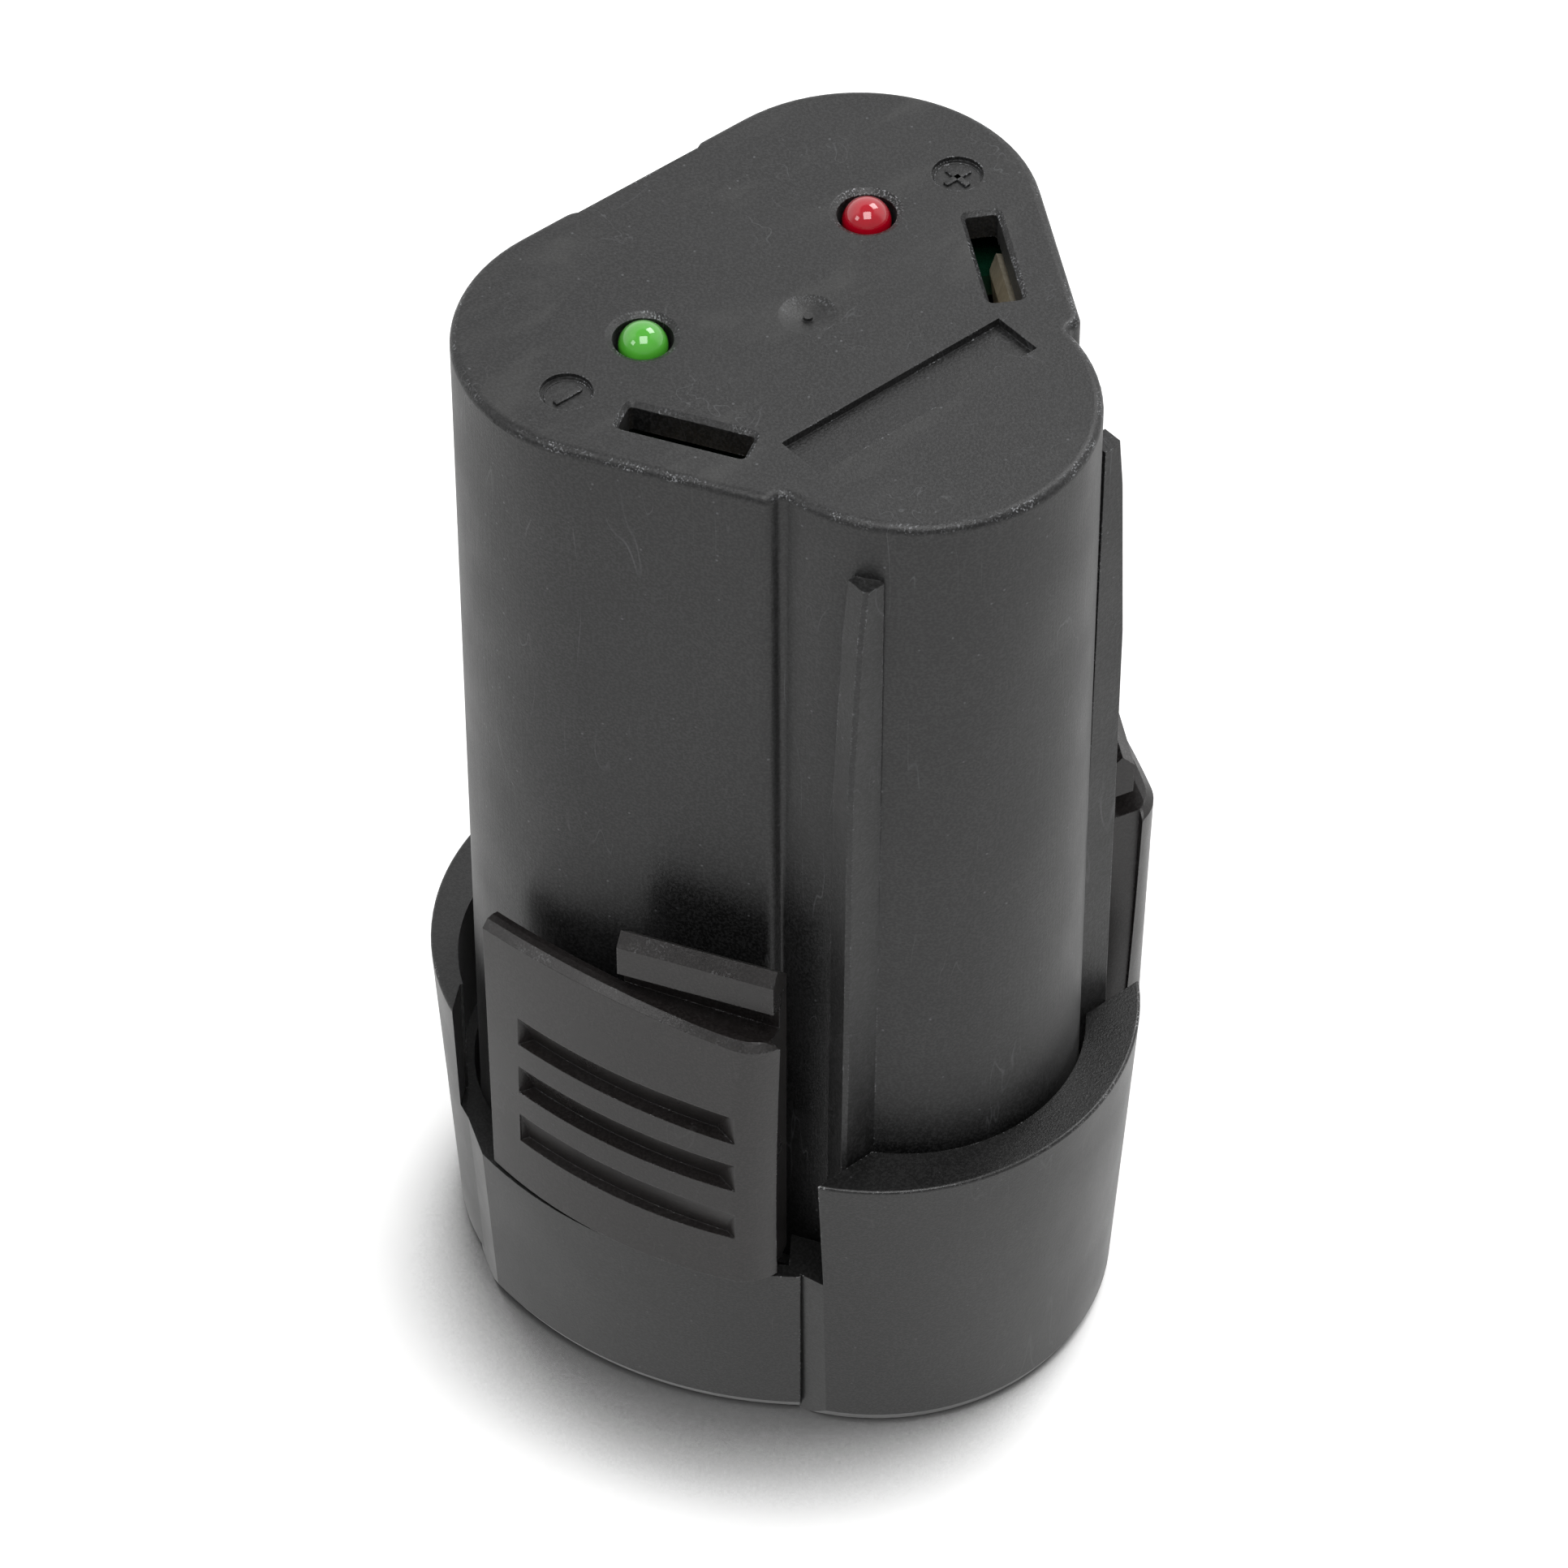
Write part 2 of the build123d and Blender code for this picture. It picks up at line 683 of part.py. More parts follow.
slope_rise = math.tan(math.radians(plate_top_slope))
slope_low = plate_height - plate_depth * slope_rise
slope_radius = plate_high_radius - 2 * plate_edge
high_centre = plate_curve(plate_front_high_out, plate_high_radius)[0]

with BuildPart() as latch_bridge:
    add(plate_form.part)
    with BuildSketch(level_plane(web_out - web_thickness / 2, web_shift, plate_height)):
        Rectangle(plate_depth, 2 * web_half, align=(Align.MIN, Align.CENTER))
    extrude(amount=-bridge_drop, mode=Mode.INTERSECT)

with BuildPart() as latch_cheeks:
    for place in cheek_places:
        with BuildSketch(section_plane(place)):
            with Locations((web_out - web_thickness / 2, plate_low + plate_low_gap)):
                Rectangle(
                    plate_depth,
                    plate_height - bridge_drop / 2 - plate_low - plate_low_gap,
                    align=(Align.MIN, Align.MIN),
                )
        extrude(amount=cheek_width / 2, both=True)
    add(plate_core((plate_thickness + max(scoop_depths)) / 2), mode=Mode.INTERSECT)

with BuildPart() as left_latch:
    add(plate_form.part)
    add(plate_core(plate_thickness), mode=Mode.SUBTRACT)
    add(latch_bridge.part)
    # the top slopes down from the face's edge towards the web
    with Locations(side_place(*high_centre, slope_low)):
        Cone(
            slope_radius - plate_depth,
            slope_radius + overcut / slope_rise,
            plate_height + overcut - slope_low,
            align=(Align.CENTER, Align.CENTER, Align.MIN),
            mode=Mode.SUBTRACT,
        )
    add(grip.part, mode=Mode.SUBTRACT)
    add(latch_cheeks.part)
    # web and hook tab in one section across the side, and the narrower foot below them
    with BuildSketch(section_plane(web_shift)):
        with BuildLine():
            Polyline(
                (web_in, plate_low),
                (web_in, tab_high - tab_back_drop),
                (tab_out - tab_bevel, tab_high),
                (tab_out, tab_face_high),
                (tab_out, tab_low),
                (web_out, tab_low - tab_root_drop),
                (web_out, plate_low),
                close=True,
            )
        make_face()
    extrude(amount=web_half, both=True)
    with BuildSketch(section_plane(web_shift)):
        with Locations((web_in, pivot_height)):
            Rectangle(web_thickness, plate_low - pivot_height, align=(Align.MIN, Align.MIN))
        with Locations((pivot_out, pivot_height)):
            Circle(foot_radius)
    extrude(amount=foot_half, both=True)
    with BuildSketch(section_plane(web_shift)):
        with Locations((pivot_out, pivot_height)):
            Circle(trunnion_radius)
    extrude(amount=foot_half + bearing_play + trunnion_length, both=True)
    with BuildSketch(facing_plane(web_in, 0, spring_height)):
        Circle(post_radius)
    extrude(amount=-post_height)
left_latch.part.label = "left_latch"
export_step(left_latch.part, "parts/left_latch.step")

with BuildPart() as right_latch:
    mirror(left_latch.part, about=Plane.YZ)
right_latch.part.label = "right_latch"
export_step(right_latch.part, "parts/right_latch.step")

# Latch springs: compression coils between the pocket's floor and the latch's web
spring_room = web_in - spring_floor_out
spring_start = (spring_room - spring_pitch * spring_turns) / 2


def spring_point(turn):
    """Point on the left spring's helix after a number of turns."""
    angle = math.tau * turn
    out = spring_floor_out + spring_start + spring_pitch * turn
    along = spring_radius * math.cos(angle)
    return Vector(side_place(out, along, spring_height + spring_radius * math.sin(angle)))


def spring_way(turn):
    """Direction of the left spring's helix after a number of turns."""
    angle = math.tau * turn
    along = -spring_radius * math.tau * math.sin(angle)
    rise = spring_radius * math.tau * math.cos(angle)
    return Vector(side_place(spring_pitch, along, rise)).normalized()


with BuildPart() as left_spring:
    with BuildLine() as spring_line:
        for half in range(2 * spring_turns):
            start, end = spring_point(half / 2), spring_point((half + 1) / 2)
            start_way, end_way = spring_way(half / 2), spring_way((half + 1) / 2)
            chord, ways = end - start, start_way + end_way
            closing = 2 * (1 - start_way.dot(end_way))
            reach = math.sqrt(chord.dot(ways) ** 2 + closing * chord.dot(chord)) - chord.dot(ways)
            joint = (start + end + (start_way - end_way) * (reach / closing)) / 2
            first_arc = TangentArc(start, joint, tangent=start_way)
            TangentArc(joint, end, tangent=first_arc % 1)
    with BuildSketch(Plane(spring_point(0), z_dir=spring_way(0))):
        Circle(spring_wire / 2)
    sweep(path=spring_line.line)
left_spring.part.label = "left_latch_spring"
export_step(left_spring.part, "parts/left_latch_spring.step")
wire_volume = math.pi * (spring_wire / 2) ** 2 * spring_line.wires()[0].length
print("spring volume", left_spring.part.volume, "wire section times length", wire_volume)

turn_samples = 90
spring_samples = turn_samples * spring_turns
spring_points = [spring_line.wires()[0] @ (step / spring_samples) for step in range(spring_samples)]
spring_gap = min(
    (spring_points[here] - spring_points[there]).length
    for here in range(len(spring_points))
    for there in range(here + turn_samples // 2, len(spring_points))
)
print("least gap of the spring to itself", spring_gap - spring_wire)

with BuildPart() as right_spring:
    mirror(left_spring.part, about=Plane.YZ)
right_spring.part.label = "right_latch_spring"
export_step(right_spring.part, "parts/right_latch_spring.step")

# Cells: cans with a rolled neck and a raised button at the positive end, and a paper ring round it
button_radius = 4.0
button_height = 0.3
can_edge = 0.6
neck_drop = 3.2
neck_width = 1.4
neck_depth = 0.45
ring_thickness = 0.25
ring_play = 0.5
can_high = cell_length - button_height

with BuildPart() as cell:
    with BuildSketch(Plane.XZ):
        with BuildLine():
            Polyline(
                (0, 0),
                (cell_radius, 0),
                (cell_radius, can_high - neck_drop - neck_width),
                (cell_radius - neck_depth, can_high - neck_drop - neck_width / 2),
                (cell_radius, can_high - neck_drop),
                (cell_radius, can_high),
                (button_radius, can_high),
                (button_radius, cell_length),
                (0, cell_length),
                close=True,
            )
        can = make_face()
        rims = can.vertices().filter_by_position(Axis.X, cell_radius - fit_play, cell_radius + fit_play)
        fillet([rims.sort_by(Axis.Y)[0], rims.sort_by(Axis.Y)[-1]], can_edge)
    revolve(axis=Axis.Z)

with BuildPart() as paper_ring:
    with BuildSketch(Plane.XY.offset(can_high)):
        Circle(cell_radius - ring_play)
        Circle(button_radius + ring_play, mode=Mode.SUBTRACT)
    extrude(amount=ring_thickness)

upright = Location((0, 0, cell_low))
upside_down = Location((0, 0, cell_high), (180, 0, 0))
cell_seats = {
    "left": (cell_left_place, upright),
    "right": (cell_right_place, upright),
    "front": (cell_front_place, upside_down),
}
for name, (place, stand) in cell_seats.items():
    with BuildPart() as placed_cell:
        with Locations(Location((*place, 0)) * stand):
            add(cell.part)
    placed_cell.part.label = f"cell_{name}"
    export_step(placed_cell.part, f"parts/cell_{name}.step")
    with BuildPart() as placed_ring:
        with Locations(Location((*place, 0)) * stand):
            add(paper_ring.part)
    placed_ring.part.label = f"insulator_ring_{name}"
    export_step(placed_ring.part, f"parts/insulator_ring_{name}.step")

# Nickel strips and the lead that comes up between the cells
strip_width = 7.0
strip_end = 3.2
strip_corner = 0.8
tab_strip_width = 4.0
lead_radius = 0.8
lead_play = 0.3
carrier_floor = 1.1
clip_low = carrier_low + carrier_floor


def bridge_strip(first, second, height):
    """Strip that joins two cells end to end."""
    middle = ((first[0] + second[0]) / 2, (first[1] + second[1]) / 2)
    angle = math.degrees(math.atan2(second[1] - first[1], second[0] - first[0]))
    with BuildPart() as strip:
        with BuildSketch(Plane.XY.offset(height)):
            with Locations(Location((*middle, 0), (0, 0, angle))):
                RectangleRounded(cell_pitch + 2 * strip_end, strip_width, strip_corner)
        extrude(amount=strip_thickness)
    return strip.part


with BuildPart() as top_bridge_strip:
    add(bridge_strip(cell_front_place, cell_left_place, cell_high))
top_bridge_strip.part.label = "top_bridge_strip"
export_step(top_bridge_strip.part, "parts/top_bridge_strip.step")

with BuildPart() as bottom_bridge_strip:
    add(bridge_strip(cell_front_place, cell_right_place, low_strip_low))
bottom_bridge_strip.part.label = "bottom_bridge_strip"
export_step(bottom_bridge_strip.part, "parts/bottom_bridge_strip.step")

tab_angle = math.degrees(math.atan2(cell_reach / 2, -cell_pitch / 2))

with BuildPart() as negative_tab:
    with BuildSketch(Plane.XY.offset(low_strip_low)):
        with Locations(Location((0, 0, 0), (0, 0, tab_angle))):
            with Locations((cell_reach / 2 + strip_end / 2 - lead_radius / 2, 0)):
                RectangleRounded(cell_reach + strip_end + lead_radius, tab_strip_width, strip_corner)
    extrude(amount=strip_thickness)
negative_tab.part.label = "negative_tab"
export_step(negative_tab.part, "parts/negative_tab.step")

with BuildPart() as negative_lead:
    with BuildSketch(Plane.XY.offset(cell_low)):
        Circle(lead_radius)
    extrude(amount=board_low - cell_low)
negative_lead.part.label = "negative_lead"
export_step(negative_lead.part, "parts/negative_lead.step")

# The positive strip, drawn on the left side and mirrored onto the right cell
feed_run = (slot_out - cell_reach / 2, slot_along + cell_pitch / 2)
feed_length = math.hypot(*feed_run) + strip_end
feed_angle = math.degrees(math.atan2(feed_run[1], feed_run[0]))
feed_middle = (slot_out - feed_run[0] / 2, slot_along - feed_run[1] / 2)

with BuildPart() as strip_feed:
    with BuildSketch(level_plane(0, 0, cell_high)):
        with Locations(Location((*feed_middle, 0), (0, 0, feed_angle))):
            RectangleRounded(feed_length, tab_strip_width, strip_corner)
    extrude(amount=strip_thickness)
    with BuildSketch(level_plane(slot_out, slot_along, cell_high)):
        Rectangle(strip_thickness, tab_strip_width)
    extrude(amount=clip_low - cell_high)

with BuildPart() as positive_strip:
    mirror(strip_feed.part, about=Plane.YZ)
positive_strip.part.label = "positive_strip"
export_step(positive_strip.part, "parts/positive_strip.step")

# Sheet insulator and board carrier, both with room for the lead and the positive strip
sheet_play = 0.25
carrier_wall = 1.0


def lobed_sheet(low, thickness, inset=0):
    """Slab of the tower's inner outline, with the play that lets it slide in."""
    radius = lobe_radius + draft_slope * (pack_height - low) - housing_wall - sheet_play - inset
    with BuildPart() as sheet:
        extrude(lobed_outline(low, radius), amount=thickness)
    return sheet.part


with BuildPart() as wire_passage:
    with BuildSketch(Plane.XY.offset(sheet_low)):
        Circle(lead_radius + lead_play)
    extrude(amount=board_low - sheet_low)
    with BuildSketch(level_plane(slot_out, slot_along, sheet_low)):
        Rectangle(strip_thickness + 2 * lead_play, tab_strip_width + 2 * lead_play)
    extrude(amount=board_low - sheet_low)

with BuildPart() as top_insulator:
    add(lobed_sheet(sheet_low, sheet_thickness))
    mirror(wire_passage.part, about=Plane.YZ, mode=Mode.SUBTRACT)
top_insulator.part.label = "top_insulator"
export_step(top_insulator.part, "parts/top_insulator.step")

with BuildPart() as board_carrier:
    add(lobed_sheet(carrier_low, carrier_height))
    add(lobed_sheet(clip_low, carrier_height, carrier_wall), mode=Mode.SUBTRACT)
    mirror(wire_passage.part, about=Plane.YZ, mode=Mode.SUBTRACT)
board_carrier.part.label = "board_carrier"
export_step(board_carrier.part, "parts/board_carrier.step")

# Terminal clips: bent sheet, two leaves that pinch the tool's blade under each slot
clip_sheet = 0.4
clip_width = 6.0
clip_foot_half = 1.15
clip_pinch_half = 0.62
clip_mouth_half = 1.0
clip_mouth_drop = 0.6
clip_pinch_drop = 1.9
clip_play = 0.35
clip_mouth_high = roof_low - clip_mouth_drop
clip_pinch_high = roof_low - clip_pinch_drop

with BuildPart() as clip:
    with BuildSketch(section_plane(slot_along)):
        with BuildLine():
            Polyline(
                (slot_out - clip_mouth_half, clip_mouth_high),
                (slot_out - clip_pinch_half, clip_pinch_high),
                (slot_out - clip_foot_half, clip_low + clip_sheet / 2),
                (slot_out + clip_foot_half, clip_low + clip_sheet / 2),
                (slot_out + clip_pinch_half, clip_pinch_high),
                (slot_out + clip_mouth_half, clip_mouth_high),
            )
        trace(line_width=clip_sheet)
    extrude(amount=clip_width / 2, both=True)

with BuildPart() as negative_clip:
    add(clip.part)
negative_clip.part.label = "negative_clip"
export_step(negative_clip.part, "parts/negative_clip.step")

with BuildPart() as positive_clip:
    mirror(clip.part, about=Plane.YZ)
positive_clip.part.label = "positive_clip"
export_step(positive_clip.part, "parts/positive_clip.step")

# Circuit board with windows for the clips and holes for the lamps' legs
leg_size = 0.5
leg_spread = 1.27
leg_play = 0.1
leg_below = 0.8
lamp_radius = 1.53
lamp_flange_radius = 1.75
lamp_flange_height = 0.8
lamp_centre_drop = 0.75

with BuildPart() as clip_window:
    with BuildSketch(level_plane(slot_out, slot_along, board_low)):
        window_width = 2 * (clip_foot_half + clip_sheet / 2 + clip_play)
        RectangleRounded(window_width, clip_width + 2 * clip_play, slot_corner)
    extrude(amount=board_thickness)

with BuildPart() as circuit_board:
    add(lobed_sheet(board_low, board_thickness))
    add(clip_window.part, mode=Mode.SUBTRACT)
    mirror(clip_window.part, about=Plane.YZ, mode=Mode.SUBTRACT)
    with BuildSketch(Plane.XY.offset(board_low)):
        with Locations((-lamp_x, lamp_y), (lamp_x, lamp_y)):
            with GridLocations(2 * leg_spread, 0, 2, 1):
                Rectangle(leg_size + 2 * leg_play, leg_size + 2 * leg_play)
    extrude(amount=board_thickness, mode=Mode.SUBTRACT)
circuit_board.part.label = "circuit_board"
export_step(circuit_board.part, "parts/circuit_board.step")

# Parts on the board: controller, two switching transistors, and rows of small chips
chip_height = 1.2
chip_small_height = 0.6
controller_size = 6.0
controller_y = 11.5
transistor_width = 5.0
transistor_length = 6.0
transistor_spread = 6.4
transistor_y = -12.0
small_length = 1.6
small_width = 0.8
small_pitch_x = 2.6
small_pitch_y = 1.9
small_columns = 5
small_rows = 2
small_y = 5.0

with BuildPart() as board_components:
    with BuildSketch(Plane.XY.offset(board_high)):
        with Locations((0, controller_y)):
            Rectangle(controller_size, controller_size)
        with Locations((0, transistor_y)):
            with GridLocations(transistor_spread, 0, 2, 1):
                Rectangle(transistor_width, transistor_length)
    extrude(amount=chip_height)
    with BuildSketch(Plane.XY.offset(board_high)):
        with Locations((0, small_y)):
            with GridLocations(small_pitch_x, small_pitch_y, small_columns, small_rows):
                Rectangle(small_length, small_width)
    extrude(amount=chip_small_height)
board_components.part.label = "board_components"
export_step(board_components.part, "parts/board_components.step")

# Lamps: round domes that stand on the board and look out through the roof
lamp_high = pack_height - lamp_centre_drop - board_high

with BuildPart() as lamp:
    with BuildSketch(Plane.XZ):
        with BuildLine():
            shoulder = Polyline(
                (0, lamp_high + lamp_radius),
                (0, 0),
                (lamp_flange_radius, 0),
                (lamp_flange_radius, lamp_flange_height),
                (lamp_radius, lamp_flange_height),
                (lamp_radius, lamp_high),
            )
            TangentArc(shoulder @ 1, shoulder @ 0, tangent=(0, 1))
        make_face()
    revolve(axis=Axis.Z)
    with BuildSketch(Plane.XY):
        with GridLocations(2 * leg_spread, 0, 2, 1):
            Rectangle(leg_size, leg_size)
    extrude(amount=-board_thickness - leg_below)

for name, lamp_place in {"green_led": -lamp_x, "red_led": lamp_x}.items():
    with BuildPart() as placed_lamp:
        with Locations((lamp_place, lamp_y, board_high)):
            add(lamp.part)
    placed_lamp.part.label = name
    export_step(placed_lamp.part, f"parts/{name}.step")

# Foam pad under the cells
pad_inset = 0.8
pad_boss_play = 0.4

with BuildPart() as bottom_pad:
    with BuildSketch(Plane.XY.offset(pad_low)):
        with Locations(cell_left_place, cell_right_place, cell_front_place):
            Circle(cell_radius - pad_inset)
        make_hull()
        with PolarLocations(boss_reach, boss_count, start_angle=boss_angle):
            Circle(boss_radius + pad_boss_play, mode=Mode.SUBTRACT)
    extrude(amount=pad_thickness)
bottom_pad.part.label = "bottom_pad"
export_step(bottom_pad.part, "parts/bottom_pad.step")

# Screws that hold the cup to the tower, with a hexagonal drive
drive_radius = 1.0
drive_sides = 6
drive_depth = 0.8
head_round = 0.4

with BuildPart() as screw:
    with BuildSketch(Plane.XY.offset(screw_seat_depth)):
        Circle(screw_head_radius)
    extrude(amount=-screw_head_height)
    fillet(screw.faces().sort_by(Axis.Z)[0].edges(), head_round)
    with BuildSketch(Plane.XY.offset(screw_seat_depth)):
        Circle(screw_radius)
    extrude(amount=screw_length)
    chamfer(screw.faces().sort_by(Axis.Z)[-1].edges(), screw_radius / 2)
    with BuildSketch(Plane.XY.offset(screw_seat_depth - screw_head_height)):
        RegularPolygon(drive_radius, drive_sides)
    extrude(amount=drive_depth, mode=Mode.SUBTRACT)

with BuildPart() as housing_screws:
    with PolarLocations(boss_reach, boss_count, start_angle=boss_angle):
        add(screw.part)
housing_screws.part.label = "housing_screws"
export_step(housing_screws.part, "parts/housing_screws.step")
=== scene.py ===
import math

import bmesh
import bpy
import numpy as np
from mathutils import Matrix, Vector


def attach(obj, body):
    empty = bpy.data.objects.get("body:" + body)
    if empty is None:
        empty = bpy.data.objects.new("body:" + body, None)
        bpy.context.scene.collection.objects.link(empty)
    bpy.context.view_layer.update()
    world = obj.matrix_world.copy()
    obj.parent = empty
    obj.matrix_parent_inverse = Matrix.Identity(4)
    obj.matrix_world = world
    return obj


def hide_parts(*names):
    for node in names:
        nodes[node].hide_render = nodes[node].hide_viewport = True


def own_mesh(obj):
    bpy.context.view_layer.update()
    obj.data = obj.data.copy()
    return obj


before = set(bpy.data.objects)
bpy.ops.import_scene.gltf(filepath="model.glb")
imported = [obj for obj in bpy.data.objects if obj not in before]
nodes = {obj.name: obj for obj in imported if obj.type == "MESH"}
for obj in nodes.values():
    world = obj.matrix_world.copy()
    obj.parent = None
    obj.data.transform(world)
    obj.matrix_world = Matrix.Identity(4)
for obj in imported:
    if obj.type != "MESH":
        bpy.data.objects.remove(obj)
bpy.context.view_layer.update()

mm = 0.001      # sizes below are in millimetres, and this brings them to metres
print("frame loaded:", len(nodes), "CAD nodes")


# Camera

camera = {
    "eye": (-183.71, -216.91, 332.90),   # mm, worked out from the photograph's edges
    "turn": -40.02,                      # degrees round the upright axis
    "rise": 45.99,                       # degrees above the floor
    "roll": -0.03,                       # degrees round the line of sight
    "lens": 145.35,                      # mm
    "sensor": 36.0,                      # mm
    "clipFrom": 0.01,                    # metres
    "clipTo": 20.0,
}


def placeCamera(view):
    # axes in words: right lies level, back points from the object to the eye, up is back turned a quarter
    turn, rise, roll = (math.radians(view[k]) for k in ("turn", "rise", "roll"))
    right = Vector((math.cos(turn), math.sin(turn), 0))
    back = Vector((math.sin(turn) * math.cos(rise), -math.cos(turn) * math.cos(rise), math.sin(rise)))
    up = back.cross(right)
    rightRolled = right * math.cos(roll) + up * math.sin(roll)
    upRolled = up * math.cos(roll) - right * math.sin(roll)
    data = bpy.data.cameras.new("productCamera")
    data.sensor_fit = "HORIZONTAL"
    data.sensor_width = view["sensor"]
    data.lens = view["lens"]
    data.clip_start, data.clip_end = view["clipFrom"], view["clipTo"]
    shot = bpy.data.objects.new("productCamera", data)
    axes = Matrix((rightRolled, upRolled, back)).transposed().to_4x4()
    shot.matrix_world = Matrix.Translation(Vector(view["eye"]) * mm) @ axes
    bpy.context.scene.collection.objects.link(shot)
    bpy.context.scene.camera = shot


placeCamera(camera)
print("camera placed")


# Node helpers

mixFirst, mixSecond, mixResult = 6, 7, 2      # where the Mix node keeps its colour sockets


def addNode(tree, kind, inputs=None, **settings):
    node = tree.nodes.new(kind)
    for name, value in settings.items():
        setattr(node, name, value)
    for name, value in (inputs or {}).items():
        feed(tree, node.inputs[name], value)
    return node


def feed(tree, socket, value):
    # a socket is linked, and a plain number or colour is set on the socket itself
    if isinstance(value, bpy.types.NodeSocket):
        tree.links.new(value, socket)
    else:
        socket.default_value = value


def sums(tree, operation, first, second, clamp=False):
    node = addNode(tree, "ShaderNodeMath", operation=operation, use_clamp=clamp)
    feed(tree, node.inputs[0], first)
    feed(tree, node.inputs[1], second)
    return node.outputs[0]


def times(tree, first, second, clamp=False):
    return sums(tree, "MULTIPLY", first, second, clamp)


def ramp(tree, value, edges, start=0.0, end=1.0):
    # rises from start to end as value goes from the first edge to the second, with soft ends
    node = addNode(tree, "ShaderNodeMapRange", interpolation_type="SMOOTHSTEP")
    for name, given in zip(("Value", "From Min", "From Max", "To Min", "To Max"), (value, *edges, start, end)):
        feed(tree, node.inputs[name], given)
    return node.outputs["Result"]


def blendColours(tree, share, first, second):
    node = addNode(tree, "ShaderNodeMix", {"Factor": share}, data_type="RGBA")
    feed(tree, node.inputs[mixFirst], first)
    feed(tree, node.inputs[mixSecond], second)
    return node.outputs[mixResult]


def addNoise(tree, place, **sockets):
    return addNode(tree, "ShaderNodeTexNoise", {"Vector": place, **sockets}).outputs[0]


def stretched(tree, place, scale, turn=(0.0, 0.0, 0.0)):
    return addNode(tree, "ShaderNodeMapping", {"Vector": place, "Rotation": turn, "Scale": scale}).outputs[0]


def objectPlace(tree):
    return addNode(tree, "ShaderNodeTexCoord").outputs["Object"]


def upwardShare(tree):
    # 1 where the surface faces straight up, 0 where it stands upright
    normal = addNode(tree, "ShaderNodeNewGeometry").outputs["Normal"]
    return addNode(tree, "ShaderNodeSeparateXYZ", {"Vector": normal}).outputs["Z"]


def newMaterial(name):
    material = bpy.data.materials.new(name)
    material.use_nodes = True
    return material, material.node_tree


def newGroup(name, takes, gives):
    # takes and gives are rows of a socket's label and its kind
    group = bpy.data.node_groups.new(name, "ShaderNodeTree")
    for way, rows in (("INPUT", takes), ("OUTPUT", gives)):
        for label, kind in rows:
            group.interface.new_socket(name=label, in_out=way, socket_type="NodeSocket" + kind)
    return group, group.nodes.new("NodeGroupInput").outputs, group.nodes.new("NodeGroupOutput").inputs


def useGroup(tree, group, **values):
    node = tree.nodes.new("ShaderNodeGroup")
    node.node_tree = group
    for name, value in values.items():
        feed(tree, node.inputs[name], value)
    return node.outputs


# Mould grain, shared by the nylon finishes

grainPlan = {
    "fine": {"Detail": 3.0, "Roughness": 0.6},
    "streak": {"Scale": 5200.0, "Detail": 2.0, "Roughness": 0.5}, "streakStretch": (1.0, 1.0, 0.07),
    "cloud": {"Scale": 160.0, "Detail": 4.0, "Roughness": 0.55},
    "specks": {"Scale": 5600.0, "Detail": 1.0, "Roughness": 0.4}, "speckEdges": (0.40, 0.66),
}


def makeMouldGrain(plan):
    # height in words: fine round noise, plus noise drawn out along the upright axis as the mould leaves it
    group, given, result = newGroup(
        "mouldGrain",
        [("Place", "Vector"), ("Grain", "Float"), ("Draw", "Float"), ("Flecks", "Float")],
        [("Height", "Float"), ("Fleck", "Float"), ("Cloud", "Float")])
    place = given["Place"]
    fine = addNoise(group, place, Scale=given["Grain"], **plan["fine"])
    streak = addNoise(group, stretched(group, place, plan["streakStretch"]), **plan["streak"])
    drawPart = times(group, streak, given["Draw"])
    finePart = times(group, fine, sums(group, "SUBTRACT", 1.0, given["Draw"]))
    feed(group, result["Height"], sums(group, "ADD", finePart, drawPart))
    fleck = ramp(group, addNoise(group, place, **plan["specks"]), plan["speckEdges"])
    feed(group, result["Fleck"], times(group, fleck, given["Flecks"]))
    feed(group, result["Cloud"], addNoise(group, place, **plan["cloud"]))
    return group


# Edge wear with painted glint, shared by the nylon finishes

wearAndGlintPlan = {
    "maskSamples": 5, "sharpEdges": (0.985, 0.86),      # likeness of the rounded normal and the true one
    "leanFrom": (0.15, 0.45), "leanTo": (0.985, 0.90),  # upward shares between which a rounded edge leans
    "shadeShare": 0.4, "shadeSamples": 4,               # the shading rounds less than the mask
    "patches": {"Detail": 4.0, "Roughness": 0.65}, "patchEdges": (0.42, 0.68),
    "grit": {"Scale": 7400.0, "Detail": 1.0, "Roughness": 0.5}, "gritEdges": (0.52, 0.70),
}


